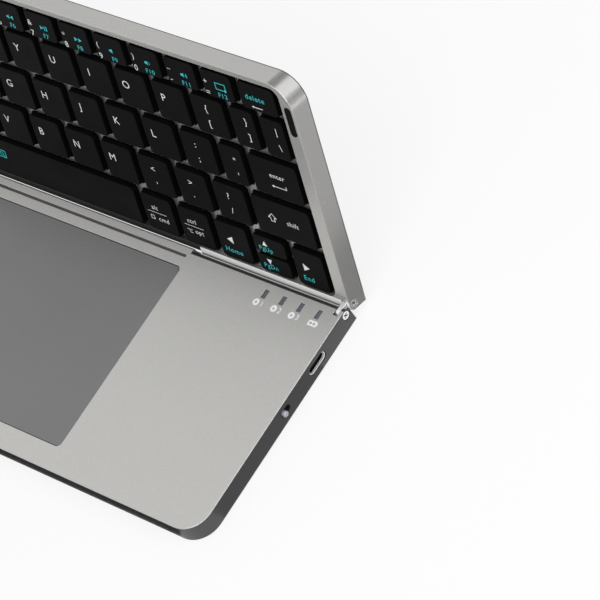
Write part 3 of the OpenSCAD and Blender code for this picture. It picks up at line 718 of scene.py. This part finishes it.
def in_screw_recess(centre, normal):
    """Inside the cross recess of a pivot screw's head, painted dark as the shade in it."""
    depth = SIDE_X - HEAD_SUNK - abs(centre.x)
    on_floor = RECESS_MOUTH < depth < RECESS_FLOOR and abs(normal.x) > RECESS_FLOOR_SHARE
    on_wall = RECESS_MOUTH < depth < RECESS_WALL_END and abs(normal.x) < RECESS_WALL_SHARE
    return on_floor or on_wall and near_pivot(centre)


def near_pivot(centre):
    """Nearer to a pivot's axis than the head's own side."""
    return min(math.hypot(centre.y - pivot.y, centre.z - pivot.z)
               for pivot in (BASE_PIVOT, KEYBOARD_PIVOT)) < RECESS_REACH


class KB_OT_Touchpad(bpy.types.Operator):
    """Touchpad surface and the marks beside the status lights"""
    bl_idname = "keyboard.touchpad"
    bl_label = "Touchpad"

    def execute(self, context):
        look = context.scene.keyboard_touchpad
        pad = surface("Etched touchpad", look.surface, rough=0.37, metallic=1.0,
                      grain=0.14 * MM, bump=0.004, contrast=0.05, rough_spread=0.06)
        glass = softened_copy("touchpad_glass", pad, SOFT_EDGE, segments=3)
        # The glass's sides and underside are painted dark as shade
        finish_faces(glass, painted_shade(), off_the_top)
        lights = surface("Unlit status lights", look.lights, rough=0.35, bump=0.004)
        pipes = softened_copy("led_light_pipes", lights, SOFT_EDGE)
        pipes.data.transform(Matrix.Translation((0, 0, -LIGHTS_DOWN)))
        low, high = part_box("led_light_pipes")
        pitch = (high.x - low.x - LIGHT_WIDTH) / (LIGHTS - 1)
        y = low.y - MARKS_NEARER
        marks = []
        for i in range(LIGHTS):
            x = low.x + LIGHT_WIDTH / 2 + i * pitch
            if i < LIGHTS - 1:
                marks += channel_mark(x, y, look.label_height, str(i + 1))
            else:
                marks += battery_mark(x, y, look.label_height)
        lift_marks(marks, BASE_TOP + MARKS_LIFT)
        finish_piece(join(marks), "status_marks", mark_ink(), "base_top_plate")
        return {"FINISHED"}


class KB_OT_Keys(bpy.types.Operator):
    """Every keycap, with rounded edges and a hollow underside"""
    bl_idname = "keyboard.keys"
    bl_label = "Keycaps"

    def execute(self, context):
        for node in key_nodes():
            faces = key_faces(node)
            caps = [keycap(face) for face in faces]
            if node == "keys_home_letters":
                caps += [home_ridge(faces[i]) for i in HOME_KEYS]
            piece = tilt_into_place(join(caps))
            finish_piece(piece, node + "_finished", keycap_plastic(), node, replace=True)
            # Painted shade on the keys' sides and undersides
            finish_faces(piece, keycap_side_shade(), off_the_top, KEYBOARD_FLAT)
        return {"FINISHED"}


class KB_OT_Legends(bpy.types.Operator):
    """Printed legends of the keys, in white and teal"""
    bl_idname = "keyboard.legends"
    bl_label = "Legends"

    def execute(self, context):
        inks = {WHITE: legend_ink, TEAL: second_legend_ink}
        for node in key_nodes():
            marks = {WHITE: [], TEAL: []}
            for face, draw in zip(key_faces(node), LEGENDS[node]):
                draw_legends(face, draw, marks)
            for colour, pieces in marks.items():
                if pieces:
                    finish_piece(tilt_into_place(join(pieces)), f"{node}_{colour}_legend",
                                 inks[colour](), node)
        return {"FINISHED"}


class KB_OT_Port(bpy.types.Operator):
    """Charging port, its contact tongue and the power switch"""
    bl_idname = "keyboard.port"
    bl_label = "Port and switch"

    def execute(self, context):
        shell = surface("Bright port shell", (0.88, 0.88, 0.9), rough=0.22, metallic=0.3,
                        grain=0.1 * MM, bump=0.002)
        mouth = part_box("usb_c_receptacle")[1].x - MOUTH_DEPTH
        port = softened_copy("usb_c_receptacle", shell, FINE_EDGE,
                             cuts=[((mouth, 0, 0), (1, 0, 0))])
        # Deeper than the mouth, the port is painted dark as the shade inside it
        finish_faces(port, painted_shade(), lambda centre, normal: centre.x < mouth)
        knob = surface("Switch knob", (0.50, 0.49, 0.55), rough=0.35, metallic=0.4,
                       grain=0.1 * MM)
        softened_copy("power_switch_knob", knob, SOFT_EDGE, segments=3)
        return {"FINISHED"}


class KB_OT_Rubber(bpy.types.Operator):
    """Feet and rim pads"""
    bl_idname = "keyboard.rubber"
    bl_label = "Feet and pads"

    def execute(self, context):
        for node in ("base_feet", "keyboard_feet", "rim_pads"):
            softened_copy(node, rubber(), SMALL_EDGE)
        return {"FINISHED"}


class KB_OT_Inside(bpy.types.Operator):
    """Finishes of the nodes that keep their own mesh, most of them inside"""
    bl_idname = "keyboard.inside"
    bl_label = "Inner pieces"

    def execute(self, context):
        for node, obj in frame["nodes"].items():
            if not obj.hide_render:
                paint(obj, surface(*INSIDE_FINISHES[slot_of(node)]))
        return {"FINISHED"}


class KB_OT_Stage(bpy.types.Operator):
    """Floor, surroundings, lamps and the camera"""
    bl_idname = "keyboard.stage"
    bl_label = "Stage"

    def execute(self, context):
        look = context.scene.keyboard_stage
        make_floor()
        for name, low, high, grey in FLOOR_CARDS:
            middle = Vector(((low[0] + high[0]) / 2, (low[1] + high[1]) / 2, CARD_HEIGHT))
            make_card(name, middle, UP, high[0] - low[0], high[1] - low[1], grey)
        for name, direction, width, height, grey in UPRIGHT_CARDS:
            middle = UPRIGHT_MIDDLE + Vector(direction) * UPRIGHT_DISTANCE
            make_card(name, middle, direction, width, height, grey)
        make_world(context.scene, look.sky)
        for lamp in LAMPS:
            make_lamp(*lamp)
        make_camera(context.scene, look)
        context.scene.view_settings.view_transform = "Standard"
        return {"FINISHED"}


class KB_PT_Panel(bpy.types.Panel):
    """Steps of the model, in the order that they run"""
    bl_label = "Folding keyboard"
    bl_idname = "KB_PT_panel"
    bl_space_type = "VIEW_3D"
    bl_region_type = "UI"
    bl_category = "Keyboard"

    def draw(self, context):
        for step in STEPS:
            self.layout.operator(step.bl_idname)


STEPS = (KB_OT_Shells, KB_OT_Hinge, KB_OT_Touchpad, KB_OT_Port, KB_OT_Rubber, KB_OT_Keys,
         KB_OT_Legends, KB_OT_Inside, KB_OT_Stage)
GROUP_CLASSES = {
    "keyboard_shells": KB_Shells,
    "keyboard_keys": KB_Keys,
    "keyboard_touchpad": KB_Touchpad,
    "keyboard_stage": KB_Stage,
}


# -------- keycaps

# How much wider a keycap is at its foot on each side, and its walls
KEY_FLARE = 0.3 * MM
KEY_WALL = 0.7 * MM
KEY_TOP_WALL = 0.8 * MM
# Steps of the rounded corners and of the top's edge, and the turn that still shades smoothly
CORNER_STEPS = 5
EDGE_STEPS = 3
KEYCAP_SMOOTH_ANGLE = math.radians(50)
# Share of its normal from which a face counts as facing up or down
FACING = 0.9
# Keys of the home row that have a ridge for the forefingers, counted from the left
HOME_KEYS = (3, 6)
RIDGE_LENGTH = 3.8 * MM
RIDGE_WIDTH = 0.45 * MM
RIDGE_HEIGHT = 0.1 * MM
RIDGE_EDGE = 0.8 * RIDGE_HEIGHT
RIDGE_UP = 2.4 * MM


def key_nodes():
    return [node for node in frame["nodes"] if slot_of(node) == "keycap_black"]


def new_block(middle, size):
    """A block around a point, with its place and size in its mesh."""
    bpy.ops.mesh.primitive_cube_add(size=1, location=middle, scale=size)
    block = only(bpy.context.object)
    bpy.ops.object.transform_apply(location=True, rotation=True, scale=True)
    return block


def keycap(face):
    """One keycap, wider at its foot, with rounded corners and a rounded top edge."""
    look = bpy.context.scene.keyboard_keys
    width = face.right - face.left
    length = face.far - face.near
    height = face.top - face.foot
    foot_width = width + 2 * KEY_FLARE
    foot_length = length + 2 * KEY_FLARE
    middle = ((face.left + face.right) / 2, (face.near + face.far) / 2, face.top - height / 2)
    cap = new_block(middle, (foot_width, foot_length, height))

    def upright(edge):
        a, b = (cap.data.vertices[i].co for i in edge.vertices)
        return abs(a.z - b.z) > height / 2

    select_where(cap, "EDGE", upright)
    with editing():
        bpy.ops.mesh.bevel(offset=look.corner, segments=CORNER_STEPS, affect="EDGES")
    select_where(cap, "FACE", lambda polygon: polygon.normal.z < -FACING)
    with editing():
        bpy.ops.mesh.inset(thickness=KEY_WALL)
        bpy.ops.mesh.extrude_region_move(
            TRANSFORM_OT_translate={"value": (0, 0, height - KEY_TOP_WALL)})
    select_where(cap, "FACE", lambda polygon: polygon.normal.z > FACING)
    with editing():
        bpy.ops.transform.resize(
            value=(width / foot_width, length / foot_length, 1), center_override=middle)
        bpy.ops.mesh.region_to_loop()
        bpy.ops.mesh.bevel(offset=look.round_edge, segments=EDGE_STEPS, affect="EDGES")
    smooth(cap, KEYCAP_SMOOTH_ANGLE)
    flatten_shading(cap)
    return cap


def home_ridge(face):
    ridge = new_block(((face.left + face.right) / 2, face.near + RIDGE_UP, face.top),
                      (RIDGE_LENGTH, RIDGE_WIDTH, 2 * RIDGE_HEIGHT))
    apply_modifier(ridge, "BEVEL", width=RIDGE_EDGE, segments=EDGE_STEPS)
    smooth(ridge)
    return ridge


# -------- legends

# Each legend is (kind, what, x from the left edge, y down from the far edge, height, colour).
# Distances are in millimetres, and an x of None stands for the middle of the key.
LETTER_AT = (4.5, 6.0)
LETTER_HEIGHT = 3.2
PAIR_HEIGHT = 2.7


def words(text, x=None, y=7.6, height=2.0, colour=WHITE):
    return [("text", text, x, y, height, colour)]


def icon(name, x, y, height, colour=WHITE):
    return [("icon", name, x, y, height, colour)]


def letters(row):
    return [words(character, *LETTER_AT, LETTER_HEIGHT) for character in row]


def pair(upper, lower):
    return words(upper, 6.7, 4.7, PAIR_HEIGHT) + words(lower, 6.7, 10.9, PAIR_HEIGHT)


def number_key(upper, digit, symbol, label):
    return (words(upper, 1.55, 4.6, 2.3) + words(digit, 1.55, 9.0, 2.5)
            + icon(symbol, 8.1, 5.4, 2.4, TEAL) + words(label, 8.2, 8.8, 1.9, TEAL))


NUMBER_ROW = (
    ("!", "1", "dim", "F1"), ("@", "2", "bright", "F2"), ("#", "3", "search", "F3"),
    ("$", "4", "back", "F4"), ("%", "5", "globe", "F5"), ("^", "6", "rewind", "F6"),
    ("&", "7", "play", "F7"), ("*", "8", "forward", "F8"), ("(", "9", "mute", "F9"),
    (")", "0", "quiet", "F10"), ("_", "-", "loud", "F11"), ("+", "=", "screen", "F12"))

LEGENDS = {
    "key_esc": [words("esc", y=5.4)],
    "keys_numbers": [number_key(*legend) for legend in NUMBER_ROW],
    "key_delete": [words("delete", 6.7, 5.3, 2.2, TEAL) + icon("arrow", 6.7, 9.0, 1.1)],
    "key_tab": [words("tab")],
    "keys_upper_letters": letters("QWERTYUIOP") + [pair("{", "["), pair("}", "]")],
    "key_backslash": [pair("|", "\\")],
    "key_caps_lock": [words("caps", height=1.9)],
    "keys_home_letters": letters("ASDFGHJKL") + [pair(":", ";"), pair("\"", "'")],
    "key_enter": [words("enter", 11.8, 6.3) + icon("return", 11.8, 10.3, 1.9)],
    "key_shift_left": [icon("shift", 8.5, 7.6, 3.4) + words("shift", 17.5)],
    "keys_lower_letters": letters("ZXCVBNM") + [pair("<", ","), pair(">", "."), pair("?", "/")],
    "key_shift_right": [icon("shift", 8.3, 7.4, 3.4) + words("shift", 17.3)],
    "key_fn": [words("fn")],
    "key_control_left": [words("ctrl")],
    "key_option_left": [words("opt")],
    "key_command_left": [words("cmd")],
    "key_space": [icon("panel", 6.8, 6.4, 3.4, TEAL)],
    "key_command_right": [words("alt", 5.9, 5.1) + icon("line", 6.5, 7.3, 0.2)
                          + icon("square", 3.6, 9.8, 1.8) + words("cmd", 8.8, 9.8)],
    "key_option_right": [words("ctrl", 5.9, 5.1) + icon("line", 6.5, 7.3, 0.2)
                         + icon("step", 3.8, 9.8, 1.6) + words("opt", 8.4, 9.8)],
    "key_arrow_left": [icon("left", 6.2, 7.0, 3.0) + words("Home", 6.3, 11.7, 2.2, TEAL)],
    "key_arrow_up": [icon("up", 5.3, 2.9, 2.1) + words("PgUp", 5.3, 5.5, 2.0, TEAL)],
    "key_arrow_down": [icon("down", 5.3, 2.3, 2.1) + words("PgDn", 5.3, 4.8, 2.0, TEAL)],
    "key_arrow_right": [icon("right", 5.0, 7.0, 3.0) + words("End", 5.2, 11.7, 2.2, TEAL)],
}

# Height of a capital letter as a share of the text size, steps of each curve, and how much the
# strokes of words are thickened and their letters spread
CAPITAL_SHARE = 0.73
CURVE_STEPS = 3
TEXT_WEIGHT = 0.002
WORD_SPACING = 1.12
# Rise of each mark of a symbol above the one before
CROSSING_STEP = 0.002 * MM


def lettering(text, x, y, height):
    """Flat lettering centred on a point, whose capitals have the height."""
    bpy.ops.object.text_add(location=(0, 0, 0))
    obj = bpy.context.object
    obj.data.body = text
    obj.data.align_x = "CENTER"
    obj.data.align_y = "CENTER"
    obj.data.resolution_u = CURVE_STEPS
    obj.data.size = height / CAPITAL_SHARE
    if len(text) > 1:
        obj.data.offset = TEXT_WEIGHT * obj.data.size
        obj.data.space_character = WORD_SPACING
    only(obj)
    bpy.ops.object.convert(target="MESH")
    obj = bpy.context.object
    corners = [vertex.co for vertex in obj.data.vertices]
    middle_x = (min(c.x for c in corners) + max(c.x for c in corners)) / 2
    middle_y = (min(c.y for c in corners) + max(c.y for c in corners)) / 2
    obj.data.transform(Matrix.Translation((x - middle_x, y - middle_y, 0)))
    return obj


def flat_shape(sides, x, y, width, height, turn=0.0):
    """A flat face of some sides, stretched to a width and a height and then turned."""
    if sides == 4:
        bpy.ops.mesh.primitive_plane_add(size=1)
    else:
        bpy.ops.mesh.primitive_circle_add(vertices=sides, radius=0.5, fill_type="NGON")
    mark = only(bpy.context.object)
    mark.scale = (width, height, 1)
    mark.rotation_euler = (0, 0, turn)
    mark.location = (x, y, 0)
    bpy.ops.object.transform_apply(location=True, rotation=True, scale=True)
    return mark


def bar(x, y, width, height, turn=0.0):
    return flat_shape(4, x, y, width, height, turn)


def line(a, b, width):
    """A bar between two points, with square ends past them."""
    along = Vector(b) - Vector(a)
    middle = (Vector(a) + Vector(b)) / 2
    return bar(middle.x, middle.y, along.length + width, width, math.atan2(along.y, along.x))


def triangle(x, y, size, turn):
    """A triangle that points along the turn angle, with its first corner there."""
    return flat_shape(3, x, y, 1.15 * size, 1.2 * size, turn - math.pi / 2)


def ring(x, y, outer, inner, count=24, start=0.0, turn=math.tau):
    """A flat ring, or the arc of one that begins at start and runs over turn."""
    disc = flat_shape(count, x, y, 2 * outer, 2 * outer)

    def past_the_arc(polygon):
        angle = math.atan2(polygon.center.y - y, polygon.center.x - x)
        return (angle - start) % math.tau > turn

    select_where(disc, "FACE", lambda polygon: True)
    with editing():
        bpy.ops.mesh.inset(thickness=outer - inner)
        bpy.ops.mesh.delete(type="FACE")
    if turn < math.tau:
        select_where(disc, "FACE", past_the_arc)
        with editing():
            bpy.ops.mesh.delete(type="FACE")
    return disc


def strokes(points, width):
    return [line(a, b, width) for a, b in zip(points, points[1:])]


def box_outline(width, height, line_width, y=0):
    """The outline of a box, whose lines lie inside its size."""
    across, up = (width - line_width) / 2, (height - line_width) / 2
    corners = ((-across, y - up), (across, y - up), (across, y + up), (-across, y + up))
    return strokes(corners + corners[:1], line_width)


def sun(size, rays):
    marks = [ring(0, 0, 0.24 * size, 0.14 * size, 12)]
    for i in range(rays):
        a = math.tau * i / rays
        marks.append(bar(0.42 * size * math.cos(a), 0.42 * size * math.sin(a),
                         0.18 * size, 0.1 * size, a))
    return marks


def sound(waves):
    return [bar(-0.4, 0, 0.3, 0.4), triangle(-0.2, 0, 0.75, math.pi)] + [
        ring(0.08, 0, outer, outer - 0.11, 24, -0.8, 1.6) for outer in (0.34, 0.58)[:waves]]


def sized(marks, x, y, size):
    """Brings marks that are drawn around the origin at a height of 1 to their size and place."""
    for mark in marks:
        mark.data.transform(Matrix.Translation((x, y, 0)) @ Matrix.Diagonal((size, size, 1, 1)))
    return marks


def channel_mark(x, y, h, digit):
    """A round mark and a number, for one wireless channel."""
    return sized([ring(-0.6, 0, 0.55, 0.2, 20)], x, y, h) + [
        lettering(digit, x + 0.5 * h, y, 0.9 * h)]


def battery_mark(x, y, h):
    """A battery of two cells with its terminal."""
    cells = box_outline(1.5, 0.85, 0.22) + [bar(0.82, 0, 0.16, 0.4), bar(0, 0, 0.2, 0.8)]
    return sized(cells, x, y, h)


# Lines of the symbols, at a symbol's height of 1
STROKE = 0.14
SHIFT_STROKE = 0.08235
RULE_LENGTH = 44.5
SHIFT_OUTLINE = ((0, 0.5), (0.5, 0.0), (0.24, 0.0), (0.24, -0.42), (-0.24, -0.42), (-0.24, 0.0),
                 (-0.5, 0.0), (0, 0.5))
RETURN_LINE = ((-1.4, -0.2), (1.55, -0.2), (1.55, 0.4))
STEP_LINE = ((-0.75, 0.4), (-0.2, 0.4), (0.2, -0.4), (0.75, -0.4))
STEP_BAR = ((0.2, 0.4), (0.75, 0.4))

# Each symbol by name, drawn around the origin at a height of 1
SYMBOLS = {
    "left": lambda: [triangle(0, 0, 1, math.pi)],
    "right": lambda: [triangle(0, 0, 1, 0)],
    "up": lambda: [triangle(0, -0.1, 1.1, math.pi / 2)],
    "down": lambda: [triangle(0, 0.1, 1.1, -math.pi / 2)],
    "square": lambda: box_outline(1, 1, STROKE),
    "step": lambda: strokes(STEP_LINE, STROKE) + strokes(STEP_BAR, STROKE),
    "line": lambda: [bar(0, 0, RULE_LENGTH, 1)],
    "arrow": lambda: [bar(0.5, 0, 3.4, 0.28), triangle(-1.5, 0, 0.9, math.pi)],
    "return": lambda: strokes(RETURN_LINE, STROKE) + [triangle(-1.5, -0.2, 0.6, math.pi)],
    "shift": lambda: strokes(SHIFT_OUTLINE, SHIFT_STROKE),
    "panel": lambda: box_outline(1.25, 1, 0.11) + [
        ring(0, 0, 0.26, 0.18, 16), bar(0.3, -0.3, 0.2, 0.11)],
    "screen": lambda: box_outline(1.9, 1.2, 0.13, 0.05) + [
        flat_shape(12, 0.8, -0.45, 0.44, 0.44)],
    "rewind": lambda: [triangle(x, 0, 0.7, math.pi) for x in (-0.4, 0.4)],
    "forward": lambda: [triangle(x, 0, 0.7, 0) for x in (-0.4, 0.4)],
    "play": lambda: [triangle(-0.45, 0, 0.7, 0), bar(0.2, 0, 0.18, 0.8), bar(0.6, 0, 0.18, 0.8)],
    "mute": lambda: sound(0),
    "quiet": lambda: sound(1),
    "loud": lambda: sound(2),
    "dim": lambda: sun(0.9, 6),
    "bright": lambda: sun(1.15, 8),
    "search": lambda: [ring(-0.1, 0.1, 0.36, 0.24, 16),
                       line((0.16, -0.16), (0.42, -0.42), STROKE)],
    "back": lambda: [ring(0, 0, 0.45, 0.33, 24, -1.2, 4.4), triangle(-0.42, -0.1, 0.4, -1.9)],
    "globe": lambda: [ring(0, 0, 0.48, 0.38, 20), bar(0, 0, 0.8, 0.1), bar(0, 0, 0.1, 0.8)],
}


def lift_marks(marks, height):
    """Raises the flat marks of one symbol, each a hair above the last where they cross."""
    for i, mark in enumerate(marks):
        mark.data.transform(Matrix.Translation((0, 0, height + i * CROSSING_STEP)))


def draw_legends(face, legends, marks):
    """Adds the flat marks of one key's legends to the list of their colour."""
    lift = bpy.context.scene.keyboard_keys.print_height
    for kind, what, x, y, height, colour in legends:
        at_x = (face.left + face.right) / 2 if x is None else face.left + x * MM
        at_y = face.far - y * MM
        if kind == "text":
            new = [lettering(what, at_x, at_y, height * MM)]
        else:
            new = sized(SYMBOLS[what](), at_x, at_y, height * MM)
        lift_marks(new, face.top + lift)
        marks[colour] += new


# -------- stage

# Share of plain white in the floor, where the camera or a reflection sees it. The rest is matte
# and keeps the shadow.
FLOOR_WHITENESS = 0.8
FLOOR_COLOUR = (0.95, 0.95, 0.95, 1)
FLOOR_SIZE = 8
PLAIN_WHITE = (1, 1, 1, 1)

# Cards on the floor that the walls mirror: name, two corners and how light each is
FLOOR_CARDS = (
    ("front_card", (-0.25, -0.12), (0.112, -0.0105), 0.02),
    ("side_card", (0.1245, 0.002), (0.26, 0.062), 0.5),
    ("hinge_card", (0.134, 0.066), (0.152, 0.2), 0.08),
    ("low_card", (0.1245, 0.084), (0.134, 0.2), 0.08),
    ("far_card", (0.152, 0.066), (0.26, 0.2), 0.33),
    ("corner_floor_card", (0.36, 0.2), (0.9, 0.6), 0.25),
)
# Upright cards that the rounded rear corner mirrors: name, direction, width, height, lightness
UPRIGHT_CARDS = (
    ("rear_card", (-0.72, 0.60, 0.36), 0.5, 0.5, 0.62),
    ("corner_card", (-0.22, 0.74, 0.63), 0.5, 0.5, 0.06),
    ("horizon_card", (0.86, 0.50, 0.05), 0.6, 0.36, 0.04),
)
# Height of the cards that lie on the floor, and where the upright ones stand around
CARD_HEIGHT = 0.05 * MM
UPRIGHT_MIDDLE = Vector((SIDE_X, BASE_PIVOT.y, 0.08))
UPRIGHT_DISTANCE = 0.9
# Lamps: name, place, target, size in metres and power in watts
LAMPS = (
    ("key_lamp", (0.45, -0.5, 0.95), (0.05, 0.05, 0.02), 0.9, 5.0),
    ("side_lamp", (0.9, 0.25, 0.5), (0.1, 0.05, 0.03), 0.6, 2.5),
)
# Width of the camera's sensor in millimetres, and how far it sees in metres
SENSOR_WIDTH = 36
SIGHT = 20


def seen_directly(tree):
    """1 for camera, glossy and transmission rays, and 0 for the rays that light the object."""
    path = tree.nodes.new("ShaderNodeLightPath")
    seen = math_node(tree, "MAXIMUM", path.outputs["Is Camera Ray"], path.outputs["Is Glossy Ray"])
    return math_node(tree, "MAXIMUM", seen, path.outputs["Is Transmission Ray"])


def mix_shaders(tree, mask, first, second, end):
    """Leads two shaders, mixed by a mask, to the surface of an output node."""
    mix = tree.nodes.new("ShaderNodeMixShader")
    tree.links.new(mask, mix.inputs["Fac"])
    tree.links.new(first.outputs[0], mix.inputs[1])
    tree.links.new(second.outputs[0], mix.inputs[2])
    tree.links.new(mix.outputs[0], end.inputs["Surface"])


def make_floor():
    bpy.ops.mesh.primitive_plane_add(size=FLOOR_SIZE)
    floor = only(bpy.context.object)
    floor.name = "floor"
    material = new_material("Pale floor")
    tree = material.node_tree
    matte = tree.nodes["Principled BSDF"]
    matte.inputs["Base Color"].default_value = FLOOR_COLOUR
    matte.inputs["Roughness"].default_value = 1.0
    matte.inputs["Specular IOR Level"].default_value = 0.0
    white = tree.nodes.new("ShaderNodeEmission")
    white.inputs["Strength"].default_value = 1.0
    share = math_node(tree, "MULTIPLY", seen_directly(tree), FLOOR_WHITENESS)
    mix_shaders(tree, share, matte, white, tree.nodes["Material Output"])
    paint(floor, material)


def make_card(name, middle, facing, width, height, grey):
    """A card that only reflections see, and that keeps walls from mirroring plain white."""
    bpy.ops.mesh.primitive_plane_add(size=1)
    card = only(bpy.context.object)
    card.name = name
    turn = Vector(facing).to_track_quat("Z", "Y").to_matrix().to_4x4()
    stretch = Matrix.Diagonal((width, height, 1, 1))
    card.data.transform(Matrix.Translation(middle) @ turn @ stretch)
    material = new_material(name)
    tree = material.node_tree
    glow = tree.nodes.new("ShaderNodeEmission")
    glow.inputs["Color"].default_value = (grey, grey, grey, 1)
    tree.links.new(glow.outputs[0], tree.nodes["Material Output"].inputs["Surface"])
    paint(card, material)
    for ray in ("camera", "diffuse", "shadow", "transmission"):
        setattr(card, "visible_" + ray, False)


def white_background(tree, strength):
    node = tree.nodes.new("ShaderNodeBackground")
    node.inputs["Color"].default_value = PLAIN_WHITE
    node.inputs["Strength"].default_value = strength
    return node


def make_world(scene, strength):
    """Pale surroundings, plain white where the camera or a reflection sees them."""
    world = bpy.data.worlds.new("Studio")
    scene.world = world
    world.use_nodes = True
    tree = world.node_tree
    tree.nodes.clear()
    end = tree.nodes.new("ShaderNodeOutputWorld")
    light = white_background(tree, strength)
    seen = white_background(tree, 1.0)
    mix_shaders(tree, seen_directly(tree), light, seen, end)


def make_lamp(name, location, target, size, power):
    bpy.ops.object.light_add(type="AREA", location=location)
    lamp = bpy.context.object
    lamp.name = name
    lamp.data.size = size
    lamp.data.energy = power
    lamp.rotation_euler = (Vector(target) - Vector(location)).to_track_quat("-Z", "Y").to_euler()


def make_camera(scene, look):
    """Camera at the photograph's viewpoint, found from the object's own edges."""
    cos_el = math.cos(look.elevation)
    back = Vector((math.sin(look.azimuth) * cos_el, -math.cos(look.azimuth) * cos_el,
                   math.sin(look.elevation)))
    level = UP.cross(back).normalized()
    over = back.cross(level)
    c, s = math.cos(look.roll), math.sin(look.roll)
    right = c * level + s * over
    up = c * over - s * level
    hinge = Vector((SIDE_X, BASE_PIVOT.y, BASE_TOP))
    centre = hinge + back * look.distance - right * look.hinge_right - up * look.hinge_up
    bpy.ops.object.camera_add()
    camera = bpy.context.object
    turn = Matrix((right, up, back)).transposed().to_4x4()
    camera.matrix_world = Matrix.Translation(centre) @ turn
    camera.data.sensor_width = SENSOR_WIDTH
    camera.data.lens = look.lens
    camera.data.clip_end = SIGHT
    scene.camera = camera


# -------- add-on

CLASSES = (*GROUP_CLASSES.values(), *STEPS, KB_PT_Panel)


def register():
    for cls in CLASSES:
        bpy.utils.register_class(cls)
    for name, cls in GROUP_CLASSES.items():
        setattr(bpy.types.Scene, name, PointerProperty(type=cls))


def unregister():
    for name in GROUP_CLASSES:
        delattr(bpy.types.Scene, name)
    for cls in reversed(CLASSES):
        bpy.utils.unregister_class(cls)


def main():
    register()
    for step in STEPS:
        area, name = step.bl_idname.split(".")
        getattr(getattr(bpy.ops, area), name)()


if __name__ == "__main__":
    main()
